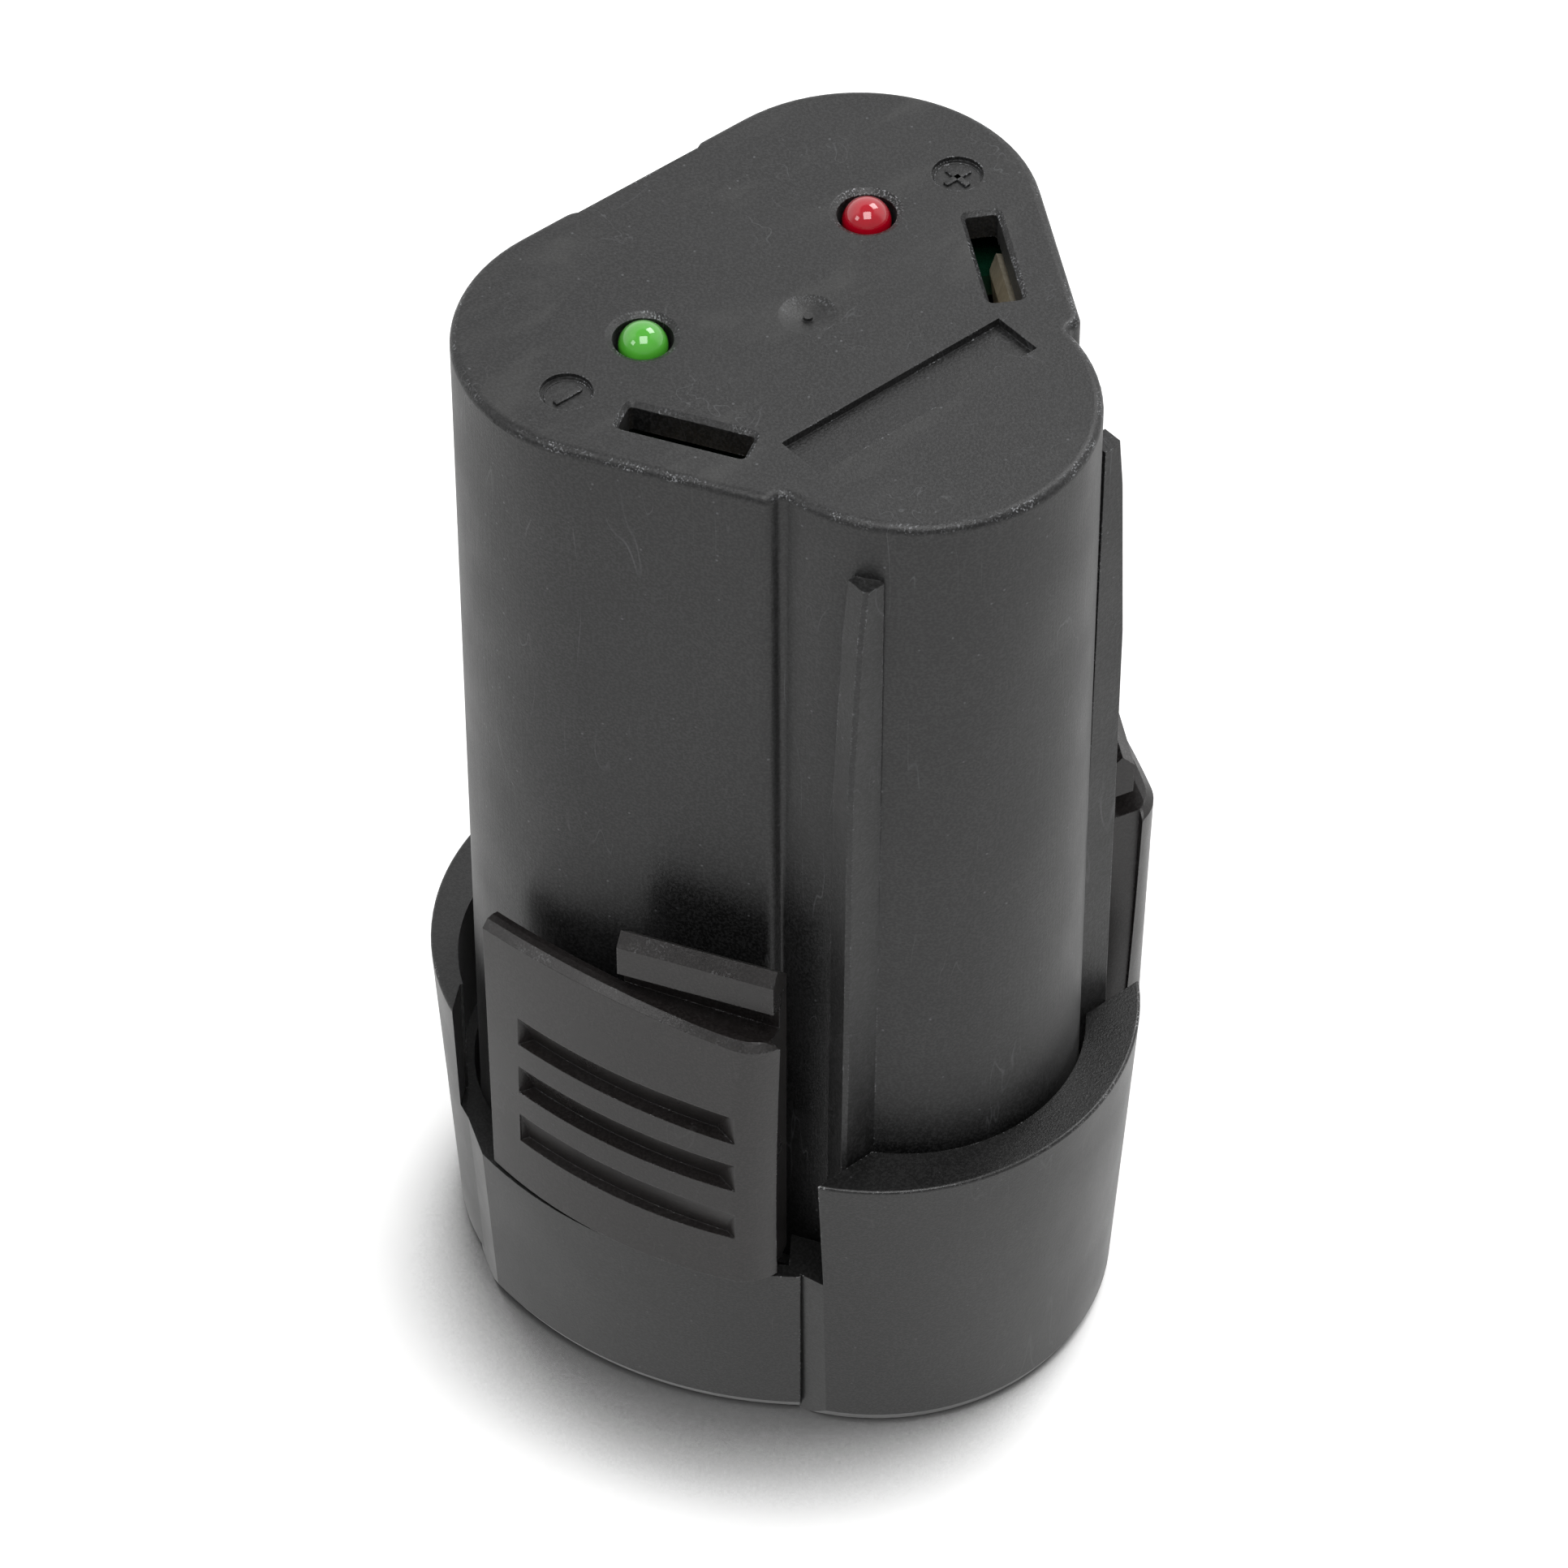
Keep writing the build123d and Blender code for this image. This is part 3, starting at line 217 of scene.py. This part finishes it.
def makeEdgeWearAndGlint(plan):
    # mask in words: how far the rounded normal leaves the true one, or that a rounded edge leans, whichever is
    # more, raised by patchy noise; part is real wear, and its gritty share is a painted glint on edges and
    # upward-leaning faces
    group, given, result = newGroup(
        "edgeWearAndGlint",
        [("Place", "Vector"), ("Radius", "Float"), ("Patches", "Float"), ("Amount", "Float"), ("Lean", "Float")],
        [("Mask", "Float"), ("WearAndGlint", "Float"), ("Normal", "Vector")])
    place = given["Place"]
    rounded = addNode(group, "ShaderNodeBevel", {"Radius": given["Radius"]}, samples=plan["maskSamples"])
    likeness = addNode(group, "ShaderNodeVectorMath", operation="DOT_PRODUCT")
    feed(group, likeness.inputs[0], rounded.outputs[0])
    feed(group, likeness.inputs[1], addNode(group, "ShaderNodeNewGeometry").outputs["Normal"])
    sharp = ramp(group, likeness.outputs["Value"], plan["sharpEdges"])
    upwards = upwardShare(group)
    leaning = times(group, ramp(group, upwards, plan["leanFrom"]), ramp(group, upwards, plan["leanTo"]))
    away = sums(group, "MAXIMUM", sharp, times(group, leaning, given["Lean"]))
    patchy = ramp(group, addNoise(group, place, Scale=given["Patches"], **plan["patches"]), plan["patchEdges"])
    gritty = ramp(group, addNoise(group, place, **plan["grit"]), plan["gritEdges"])
    wearAndGlintMask = times(group, times(group, away, patchy), given["Amount"], clamp=True)
    feed(group, result["Mask"], wearAndGlintMask)
    feed(group, result["WearAndGlint"], times(group, wearAndGlintMask, gritty))
    shadeRadius = times(group, given["Radius"], plan["shadeShare"])
    softened = addNode(group, "ShaderNodeBevel", {"Radius": shadeRadius}, samples=plan["shadeSamples"])
    feed(group, result["Normal"], softened.outputs[0])
    return group


# Marks of handling, shared by the nylon finishes

handlingPlan = {
    "scratch": {"Scale": 330.0, "Detail": 2.0, "Distortion": 0.6},
    "scratchTurn": (0.5, 0.2, 0.9), "scratchStretch": (1.0, 1.0, 0.18),
    "scratchMiddle": 0.5, "scratchEdges": (0.006, 0.0),      # how far from the middle value a line fades
    "broken": {"Scale": 150.0, "Detail": 2.0}, "brokenEdges": (0.50, 0.66),
    "dustScale": 1300.0, "dustEdges": (0.15, 0.05), "dustChosen": (0.80, 0.84),
    "film": {"Scale": 210.0, "Detail": 6.0, "Roughness": 0.62, "Distortion": 0.5}, "filmEdges": (0.48, 0.72),
    "filmTurn": (0.0, 0.0, -0.35), "filmStretch": (0.35, 1.0, 1.0), "filmLevel": (0.90, 0.99),
}


def makeHandling(plan):
    # marks in words: thin lines where a warped noise passes its middle value, sparse tiny dots,
    # and a smeared film on level faces
    group, given, result = newGroup(
        "handlingMarks",
        [("Place", "Vector"), ("Lines", "Float"), ("Dots", "Float"), ("Wiped", "Float")],
        [("Scratch", "Float"), ("Dust", "Float"), ("Haze", "Float")])
    place = given["Place"]
    drawn = stretched(group, place, plan["scratchStretch"], plan["scratchTurn"])
    lines = addNoise(group, drawn, **plan["scratch"])
    fromMiddle = sums(group, "ABSOLUTE", sums(group, "SUBTRACT", lines, plan["scratchMiddle"]), 0.0)
    thin = ramp(group, fromMiddle, plan["scratchEdges"])
    broken = ramp(group, addNoise(group, place, **plan["broken"]), plan["brokenEdges"])
    feed(group, result["Scratch"], times(group, times(group, thin, broken), given["Lines"]))
    cells = addNode(group, "ShaderNodeTexVoronoi", {"Vector": place, "Scale": plan["dustScale"]}, feature="F1")
    near = ramp(group, cells.outputs["Distance"], plan["dustEdges"])
    lot = addNode(group, "ShaderNodeSeparateColor", {"Color": cells.outputs["Color"]}).outputs[0]
    dusty = times(group, near, ramp(group, lot, plan["dustChosen"]))
    feed(group, result["Dust"], times(group, dusty, given["Dots"]))
    smeared = stretched(group, place, plan["filmStretch"], plan["filmTurn"])
    film = ramp(group, addNoise(group, smeared, **plan["film"]), plan["filmEdges"])
    level = ramp(group, upwardShare(group), plan["filmLevel"])
    feed(group, result["Haze"], times(group, times(group, film, level), given["Wiped"]))
    return group


mouldGrain = makeMouldGrain(grainPlan)
edgeWearAndGlint = makeEdgeWearAndGlint(wearAndGlintPlan)
handlingMarks = makeHandling(handlingPlan)
print("shader groups made")


# Moulded plastics

nylonFinishes = {      # grain and patches are noise scales; grainDepth and edge are in millimetres
    "towerNylon": {
        "colour": (0.0050, 0.0050, 0.0051), "fleckColour": (0.023, 0.023, 0.0235),
        "wornAndGlintColour": (0.42, 0.43, 0.45), "hazeColour": (0.055, 0.055, 0.053),
        "sheen": 0.05, "roughness": 0.43, "grain": 7200.0, "draw": 0.35, "flecks": 0.9, "grainDepth": 0.034,
        "edge": 0.20, "wearAndGlintAmount": 1.0, "patches": 420.0, "lean": 0.8, "lines": 0.30, "dots": 0.5, "wiped": 0.45,
    },
    "cupNylon": {
        "colour": (0.0055, 0.0055, 0.0055), "fleckColour": (0.018, 0.018, 0.018),
        "wornAndGlintColour": (0.42, 0.42, 0.43), "hazeColour": (0.04, 0.04, 0.04),
        "sheen": 0.05, "roughness": 0.34, "grain": 8200.0, "draw": 0.15, "flecks": 0.9, "grainDepth": 0.020,
        "edge": 0.15, "wearAndGlintAmount": 1.0, "patches": 300.0, "lean": 0.8, "lines": 0.15, "dots": 0.25, "wiped": 0.1,
    },
    "latchNylon": {
        "colour": (0.0085, 0.0070, 0.0068), "fleckColour": (0.0205, 0.018, 0.0175),
        "wornAndGlintColour": (0.34, 0.34, 0.35), "hazeColour": (0.04, 0.04, 0.04),
        "sheen": 0.02, "roughness": 0.30, "grain": 8600.0, "draw": 0.10, "flecks": 0.8, "grainDepth": 0.012,
        "edge": 0.18, "wearAndGlintAmount": 0.6, "patches": 380.0, "lean": 0.35, "lines": 0.10, "dots": 0.15, "wiped": 0.1,
    },
}
nylonShared = {
    "refraction": 1.52, "sheenRoughness": 0.30,
    "mottle": 0.25, "mottleEdges": (0.35, 0.75),      # the most that the flecks' colour clouds the base
    "marking": 0.35,                                  # how much scratches and dust show
    "smoother": 0.04, "rougher": 0.05, "roughEdges": (0.25, 0.75), "rubbed": 0.10,
}


def mouldedPlastic(name, finish, shared):
    # colour in words: the base, flecked with glass fibre, paler where an edge is worn, where a glint is painted
    # on edges and upward-leaning faces, or where dust and scratches lie
    material, tree = newMaterial(name)
    shader = tree.nodes["Principled BSDF"]
    place = objectPlace(tree)
    grain = useGroup(tree, mouldGrain, Place=place, Grain=finish["grain"], Draw=finish["draw"],
                     Flecks=finish["flecks"])
    edges = useGroup(tree, edgeWearAndGlint, Place=place, Radius=finish["edge"] * mm, Patches=finish["patches"],
                     Amount=finish["wearAndGlintAmount"], Lean=finish["lean"])
    marks = useGroup(tree, handlingMarks, Place=place, Lines=finish["lines"], Dots=finish["dots"],
                     Wiped=finish["wiped"])
    touched = times(tree, sums(tree, "ADD", marks["Scratch"], marks["Dust"], clamp=True), shared["marking"])
    colour = (*finish["colour"], 1)
    for share, over in (
            (grain["Fleck"], "fleckColour"),
            (ramp(tree, grain["Cloud"], shared["mottleEdges"], 0.0, shared["mottle"]), "fleckColour"),
            (marks["Haze"], "hazeColour"),
            # painted glint together with edge wear: pale grit on edges and upward-leaning faces
            (edges["WearAndGlint"], "wornAndGlintColour"),
            (touched, "wornAndGlintColour")):
        colour = blendColours(tree, share, colour, (*finish[over], 1))
    feed(tree, shader.inputs["Base Color"], colour)
    rough = ramp(tree, grain["Cloud"], shared["roughEdges"],
                 finish["roughness"] - shared["smoother"], finish["roughness"] + shared["rougher"])
    rubbed = times(tree, edges["Mask"], shared["rubbed"])
    feed(tree, shader.inputs["Roughness"], sums(tree, "SUBTRACT", rough, rubbed, clamp=True))
    bump = addNode(tree, "ShaderNodeBump", {"Strength": 1.0, "Distance": finish["grainDepth"] * mm,
                                            "Height": grain["Height"], "Normal": edges["Normal"]})
    feed(tree, shader.inputs["Normal"], bump.outputs[0])
    shader.inputs["IOR"].default_value = shared["refraction"]
    shader.inputs["Sheen Weight"].default_value = finish["sheen"]
    shader.inputs["Sheen Roughness"].default_value = shared["sheenRoughness"]
    return material


materials = {name: mouldedPlastic(name, finish, nylonShared) for name, finish in nylonFinishes.items()}
print("plastics made")


# Lamps, metals and the inner pieces

lensCoat = {"Coat Weight": 1.0, "Coat Roughness": 0.02}
plainFinishes = {      # two tones; scale is the noise's, and depth the bump's in millimetres
    "greenLens": {
        "tones": ((0.085, 0.46, 0.035), (0.10, 0.51, 0.045)),
        "roughness": 0.09, "scale": 500.0, "sockets": lensCoat},
    "redLens": {
        "tones": ((0.46, 0.000, 0.012), (0.53, 0.001, 0.016)),
        "roughness": 0.09, "scale": 500.0, "sockets": lensCoat},
    "contactMetal": {
        "tones": ((0.66, 0.60, 0.47), (0.50, 0.44, 0.33)), "roughness": 0.36, "scale": 2200.0, "metallic": 0.55,
        "stretch": (1.0, 1.0, 0.2), "depth": 0.004},
    "nickelStrip": {
        "tones": ((0.60, 0.58, 0.54), (0.50, 0.49, 0.46)), "roughness": 0.32, "scale": 2600.0, "metallic": 1.0,
        "stretch": (0.1, 1.0, 1.0), "depth": 0.002},
    "springWire": {
        "tones": ((0.52, 0.52, 0.53), (0.42, 0.42, 0.43)), "roughness": 0.28, "scale": 3000.0, "metallic": 1.0},
    "screwSteel": {
        "tones": ((0.42, 0.42, 0.44), (0.30, 0.30, 0.32)), "roughness": 0.34, "scale": 3000.0, "metallic": 1.0,
        "depth": 0.003},
    "cellSleeve": {
        "tones": ((0.04, 0.19, 0.46), (0.05, 0.22, 0.50)), "roughness": 0.26, "scale": 300.0},
    "fibrePaper": {
        "tones": ((0.66, 0.68, 0.63), (0.74, 0.75, 0.70)), "roughness": 0.80, "scale": 4000.0, "depth": 0.01},
    "foamPad": {
        "tones": ((0.030, 0.030, 0.030), (0.075, 0.075, 0.075)),
        "roughness": 0.95, "scale": 3500.0, "depth": 0.08},
    "carrierNylon": {
        "tones": ((0.10, 0.10, 0.10), (0.13, 0.13, 0.13)), "roughness": 0.50, "scale": 5000.0, "depth": 0.01},
    # the board's green is darkened to painted shade, as the slot round it lies in shade
    "boardMaskPaintedShade": {
        "tones": ((0.002, 0.026, 0.012), (0.003, 0.034, 0.016)),
        "roughness": 0.30, "scale": 1500.0, "depth": 0.004},
    "chipBlack": {
        "tones": ((0.022, 0.022, 0.022), (0.035, 0.035, 0.035)),
        "roughness": 0.45, "scale": 6000.0, "depth": 0.005},
    "leadCover": {
        "tones": ((0.018, 0.018, 0.018), (0.030, 0.030, 0.030)), "roughness": 0.40, "scale": 3000.0},
}
plainShared = {"noise": {"Detail": 4.0, "Roughness": 0.6}, "toneEdges": (0.3, 0.7), "roughnessSpread": 0.15}


def plainFinish(name, tones, roughness, scale, metallic=0.0, stretch=(1.0, 1.0, 1.0), depth=0.0, sockets=None):
    # colour in words: two tones mixed by noise, which also moves the roughness a little
    material, tree = newMaterial(name)
    shader = tree.nodes["Principled BSDF"]
    noise = addNoise(tree, stretched(tree, objectPlace(tree), stretch), Scale=scale, **plainShared["noise"])
    first, second = ((*tone, 1) for tone in tones)
    mixed = blendColours(tree, ramp(tree, noise, plainShared["toneEdges"]), first, second)
    feed(tree, shader.inputs["Base Color"], mixed)
    spread = plainShared["roughnessSpread"]
    rough = ramp(tree, noise, plainShared["toneEdges"], roughness * (1 - spread), roughness * (1 + spread))
    feed(tree, shader.inputs["Roughness"], rough)
    shader.inputs["Metallic"].default_value = metallic
    if depth:
        bump = addNode(tree, "ShaderNodeBump", {"Strength": 1.0, "Distance": depth * mm, "Height": noise})
        feed(tree, shader.inputs["Normal"], bump.outputs[0])
    for socket, value in (sockets or {}).items():
        shader.inputs[socket].default_value = value
    return material


for name, finish in plainFinishes.items():
    materials[name] = plainFinish(name, **finish)

dressing = {
    "towerNylon": ["upper_housing"],
    "cupNylon": ["base_cup"],
    "latchNylon": ["left_latch", "right_latch"],
    "greenLens": ["green_led"],
    "redLens": ["red_led"],
    "contactMetal": ["negative_clip", "positive_clip"],
    "nickelStrip": ["negative_tab", "positive_strip", "top_bridge_strip", "bottom_bridge_strip"],
    "springWire": ["left_latch_spring", "right_latch_spring"],
    "screwSteel": ["housing_screws"],
    "cellSleeve": ["cell_left", "cell_right", "cell_front"],
    "fibrePaper": ["insulator_ring_left", "insulator_ring_right", "insulator_ring_front", "top_insulator"],
    "foamPad": ["bottom_pad"],
    "carrierNylon": ["board_carrier"],
    "boardMaskPaintedShade": ["circuit_board"],
    "chipBlack": ["board_components"],
    "leadCover": ["negative_lead"],
}
bare = set(nodes)
for finishName, nodeNames in dressing.items():
    for nodeName in nodeNames:
        for materialSlot in nodes[nodeName].material_slots:
            materialSlot.material = materials[finishName]
    bare -= set(nodeNames)
print("finishes laid on", len(nodes) - len(bare), "nodes; without one:", sorted(bare))


# Mesh helpers

def meshPiece(name, points, faces, finish):
    mesh = bpy.data.meshes.new(name)
    mesh.from_pydata(points.tolist(), [], faces)
    shell = bmesh.new()
    shell.from_mesh(mesh)
    bmesh.ops.recalc_face_normals(shell, faces=shell.faces)
    shell.to_mesh(mesh)
    shell.free()
    mesh.polygons.foreach_set("use_smooth", np.full(len(mesh.polygons), True))
    mesh.materials.append(finish)
    mesh.update()
    piece = bpy.data.objects.new(name, mesh)
    bpy.context.scene.collection.objects.link(piece)
    return piece


def tubeFaces(rings, sides, closed=False):
    # quads between neighbouring rings of a grid whose rings are loops of the same number of points
    ring = np.arange(rings if closed else rings - 1)[:, None]
    side = np.arange(sides)[None, :]
    nextRing, nextSide = (ring + 1) % rings, (side + 1) % sides
    quads = [ring * sides + side, ring * sides + nextSide, nextRing * sides + nextSide, nextRing * sides + side]
    return np.stack(quads, -1).reshape(-1, 4).tolist()


def endFaces(rings, sides):
    # one flat face over the first ring and one over the last
    last = (rings - 1) * sides
    return [list(range(sides))[::-1], list(range(last, last + sides))]


def joinParts(parts):
    points, faces, start = [], [], 0
    for partPoints, partFaces in parts:
        points.append(partPoints)
        faces += [[i + start for i in face] for face in partFaces]
        start += len(partPoints)
    return np.concatenate(points), faces


def layRootPiece(name, parts, finish):
    piece = meshPiece(name, *joinParts(parts), finish)
    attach(piece, "pack")
    return piece


# Polarity signs: raised bars and a fine ring on the floor of each disc

signs = {      # millimetres
    "minusPlace": (-15.4, 3.42), "plusPlace": (15.3, 3.5), "floor": 79.2,
    "length": 2.0, "width": 0.42, "rise": 0.16, "sunk": 0.08,       # a bar, and how deep it is set in the floor
    "edge": 0.04, "edgeStep": 0.3, "squareness": 0.16, "barSides": 32,
    "ringRadius": 1.42, "ringWidth": 0.10, "ringRise": 0.05, "ringSteps": 56, "ringSides": 8,
}


def raisedBar(centre, turn, plan):
    # outline in words: a rectangle with tight round corners, each side the cosine or sine to a small power;
    # it keeps its size up the wall and draws in by the edge at the top
    sides, edge, rise = plan["barSides"], plan["edge"], plan["rise"]
    step = plan["edgeStep"] * edge
    angle = np.linspace(0, 2 * np.pi, sides, endpoint=False) + np.pi / sides
    across = np.sign(np.cos(angle)) * np.abs(np.cos(angle)) ** plan["squareness"]
    along = np.sign(np.sin(angle)) * np.abs(np.sin(angle)) ** plan["squareness"]
    profile = [(0.0, -plan["sunk"]), (0.0, rise - edge), (step, rise - step), (edge, rise)]
    inset, height = np.array(profile).T[:, :, None]
    x = (plan["length"] / 2 - inset) * across
    y = (plan["width"] / 2 - inset) * along
    turnedX = x * math.cos(turn) - y * math.sin(turn)
    turnedY = x * math.sin(turn) + y * math.cos(turn)
    points = np.stack([centre[0] + turnedX, centre[1] + turnedY, plan["floor"] + height + 0 * x], -1)
    rings = len(points)
    return points.reshape(-1, 3) * mm, tubeFaces(rings, sides) + endFaces(rings, sides)


def fineRing(centre, plan):
    # a torus flattened to a low ridge: round the centre by the first angle, round the ridge by the second
    steps, sides = plan["ringSteps"], plan["ringSides"]
    around = np.linspace(0, 2 * np.pi, steps, endpoint=False)[:, None]
    section = np.linspace(0, 2 * np.pi, sides, endpoint=False)[None, :]
    reach = plan["ringRadius"] + plan["ringWidth"] / 2 * np.cos(section)
    height = plan["floor"] + plan["ringRise"] * np.sin(section) + 0 * around
    points = np.stack([centre[0] + reach * np.cos(around), centre[1] + reach * np.sin(around), height], -1)
    return points.reshape(-1, 3) * mm, tubeFaces(steps, sides, closed=True)


for signName, place, turns in (
        ("minusSign", signs["minusPlace"], [0.0]),
        ("plusSign", signs["plusPlace"], [0.0, math.pi / 2])):
    bars = [raisedBar(place, turn, signs) for turn in turns]
    layRootPiece(signName, bars + [fineRing(place, signs)], materials["towerNylon"])
print("polarity signs laid")


# Latch springs: coils at their rest length, fixed to the pack; the real ones shorten as the latch is pressed

springs = {      # millimetres and degrees
    "seat": 14.07,         # how far out from the tower's middle the coil starts
    "height": 27.0, "radius": 1.8, "wire": 0.4, "pitch": 0.96, "turns": 4, "steps": 30, "sides": 10,
    "sideTurn": 30.0,      # how far the latch's side is turned from the X axis towards the front
    "anchor": 13.85,       # the coil's seat, which stays where it is
    "keep": 0.81,          # share of the coil's length that is left when the latch is pressed in
}


def sidePoint(out, along, height, mirrored):
    # a place on the left side from its distance outwards and along, or its mirror image on the right
    turn = math.radians(springs["sideTurn"])
    x = along * math.sin(turn) - out * math.cos(turn)
    y = -along * math.cos(turn) - out * math.sin(turn)
    return np.stack([-x if mirrored else x, y, height + 0 * x], -1)


def coil(plan, mirrored):
    # a circle of the wire's radius carried along a helix whose axis points outwards from the tower
    rings, sides = plan["steps"] * plan["turns"] + 1, plan["sides"]
    angle = np.linspace(0, 2 * np.pi * plan["turns"], rings)[:, None]
    section = np.linspace(0, 2 * np.pi, sides, endpoint=False)[None, :]
    climb = plan["pitch"] / (2 * np.pi * plan["radius"])
    lean = 1 / math.hypot(1, climb)
    spread = plan["wire"] / 2 * np.cos(section)
    rise = plan["wire"] / 2 * np.sin(section)
    reach = plan["radius"] + spread
    out = plan["seat"] + plan["pitch"] * angle / (2 * np.pi) + rise * lean
    along = reach * np.cos(angle) + rise * climb * lean * np.sin(angle)
    height = plan["height"] + reach * np.sin(angle) - rise * climb * lean * np.cos(angle)
    points = sidePoint(out, along, height, mirrored).reshape(-1, 3) * mm
    return points, tubeFaces(rings, sides) + endFaces(rings, sides)


for side, mirrored in (("left", False), ("right", True)):
    spring = layRootPiece(side + "SpringCoil", [coil(springs, mirrored)], materials["springWire"])
    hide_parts(side + "_latch_spring")
    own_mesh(spring)
print("springs wound")


# Studio

studio = {
    # the floor's second colour is painted shadow, laid where the object stands near
    "floorColour": (0.86, 0.86, 0.855), "floorPaintedShade": (0.13, 0.13, 0.13),
    "floorReach": 1500.0, "floorPoints": 5,      # mm, and points along a side
    "floorLift": 0.55, "mirrorLift": 0.20,       # white added where the camera sees the floor, less where shade is painted, and in reflections
    "contactReach": 16.5,                        # mm that the painted shade reaches where the object stands
    "contactEdges": (0.36, 0.74), "contactSide": (0.72, 0.33, 0.61), "contactSamples": 12,
    "worldLight": 0.27, "backdropWhite": 0.94, "ceilingWhite": 0.34,
    "backdropSide": (0.64, 0.77), "backdropEdges": (-0.35, 0.10), "backdropTop": (0.90, 0.82),
    "aim": (0.0, 0.0, 40.0),
    "lamps": {      # direction in degrees round and above, distance and width in mm, watts
        "keySoftbox": (-125.0, 68.0, 780.0, 440.0, 3.0),
        "rearSoftbox": (8.0, 54.0, 820.0, 330.0, 1.9),
        "leftSoftbox": (168.0, 40.0, 820.0, 230.0, 0.6),
    },
}


def rayMasks(tree):
    # what the camera sees itself, and what it sees in a reflection or through a clear part
    rays = addNode(tree, "ShaderNodeLightPath").outputs
    return rays["Is Camera Ray"], sums(tree, "MAXIMUM", rays["Is Glossy Ray"], rays["Is Transmission Ray"])


def paleFloor(plan):
    # painted shadow: an occlusion test, looked for towards the rear softbox, darkens the floor's colour and its
    # white lift, so the painted shade gathers on the other side of the object; a reflection sees the floor
    # unshaded
    material, tree = newMaterial("paleFloor")
    tree.nodes.remove(tree.nodes["Principled BSDF"])
    towards = addNode(tree, "ShaderNodeCombineXYZ", dict(zip("XYZ", plan["contactSide"]))).outputs[0]
    look = {"Distance": plan["contactReach"] * mm, "Normal": towards}
    contact = addNode(tree, "ShaderNodeAmbientOcclusion", look, samples=plan["contactSamples"]).outputs["AO"]
    seenRays, mirroredRays = rayMasks(tree)
    clear = sums(tree, "MAXIMUM", ramp(tree, contact, plan["contactEdges"]), mirroredRays)
    shaded = blendColours(tree, clear, (*plan["floorPaintedShade"], 1), (*plan["floorColour"], 1))
    seenLift = times(tree, times(tree, seenRays, clear), plan["floorLift"])
    lift = sums(tree, "ADD", seenLift, times(tree, mirroredRays, plan["mirrorLift"]))
    spread = addNode(tree, "ShaderNodeBsdfDiffuse", {"Color": shaded})
    glow = addNode(tree, "ShaderNodeEmission", {"Color": (1, 1, 1, 1), "Strength": lift})
    both = addNode(tree, "ShaderNodeAddShader")
    feed(tree, both.inputs[0], spread.outputs[0])
    feed(tree, both.inputs[1], glow.outputs[0])
    feed(tree, tree.nodes["Material Output"].inputs["Surface"], both.outputs[0])
    return material


def layFloor(plan):
    # a level grid with its two parameters along X and Y
    reach, count = plan["floorReach"] * mm, plan["floorPoints"]
    u, v = np.meshgrid(np.linspace(-reach, reach, count), np.linspace(-reach, reach, count))
    corners = np.stack([u.ravel(), v.ravel(), np.zeros(u.size)], 1)
    cell = (np.arange(count - 1)[:, None] * count + np.arange(count - 1)[None, :]).ravel()
    faces = np.stack([cell, cell + 1, cell + count + 1, cell + count], 1)
    mesh = bpy.data.meshes.new("studioFloor")
    mesh.from_pydata(corners.tolist(), [], faces.tolist())
    mesh.materials.append(paleFloor(plan))
    floor = bpy.data.objects.new("studioFloor", mesh)
    bpy.context.scene.collection.objects.link(floor)


def lightWorld(plan):
    # camera rays see white; reflections see a white backdrop behind the object and a dim ceiling above it
    world = bpy.data.worlds.new("paleStudio")
    bpy.context.scene.world = world
    world.use_nodes = True
    tree = world.node_tree
    direction = addNode(tree, "ShaderNodeTexCoord").outputs["Generated"]
    way = addNode(tree, "ShaderNodeSeparateXYZ", {"Vector": direction}).outputs
    sideX, sideY = plan["backdropSide"]
    behind = sums(tree, "ADD", times(tree, way["X"], sideX), times(tree, way["Y"], sideY))
    backed = times(tree, ramp(tree, behind, plan["backdropEdges"]), ramp(tree, way["Z"], plan["backdropTop"]))
    brighter = times(tree, backed, plan["backdropWhite"] - plan["ceilingWhite"])
    seenRays, mirroredRays = rayMasks(tree)
    mirrored = times(tree, mirroredRays, sums(tree, "ADD", plan["ceilingWhite"], brighter))
    otherRays = sums(tree, "SUBTRACT", 1.0, sums(tree, "MAXIMUM", seenRays, mirroredRays))
    shown = sums(tree, "ADD", mirrored, seenRays)
    background = tree.nodes["Background"]
    background.inputs["Color"].default_value = (1, 1, 1, 1)
    total = sums(tree, "ADD", shown, times(tree, otherRays, plan["worldLight"]))
    feed(tree, background.inputs["Strength"], total)


def hangSoftbox(name, turn, rise, far, width, power, aim):
    # its place in words: far from the middle, turned round the upright axis and raised, looking at the aim
    turn, rise = math.radians(turn), math.radians(rise)
    place = far * Vector((math.cos(rise) * math.cos(turn), math.cos(rise) * math.sin(turn), math.sin(rise)))
    data = bpy.data.lights.new(name, "AREA")
    data.shape = "SQUARE"
    data.size = width * mm
    data.energy = power
    lamp = bpy.data.objects.new(name, data)
    lamp.location = place * mm
    lamp.rotation_euler = (place - Vector(aim)).to_track_quat("Z", "Y").to_euler()
    bpy.context.scene.collection.objects.link(lamp)


layFloor(studio)
lightWorld(studio)
for lampName, values in studio["lamps"].items():
    hangSoftbox(lampName, *values, studio["aim"])
bpy.context.scene.view_settings.view_transform = "Standard"
print("studio lit")
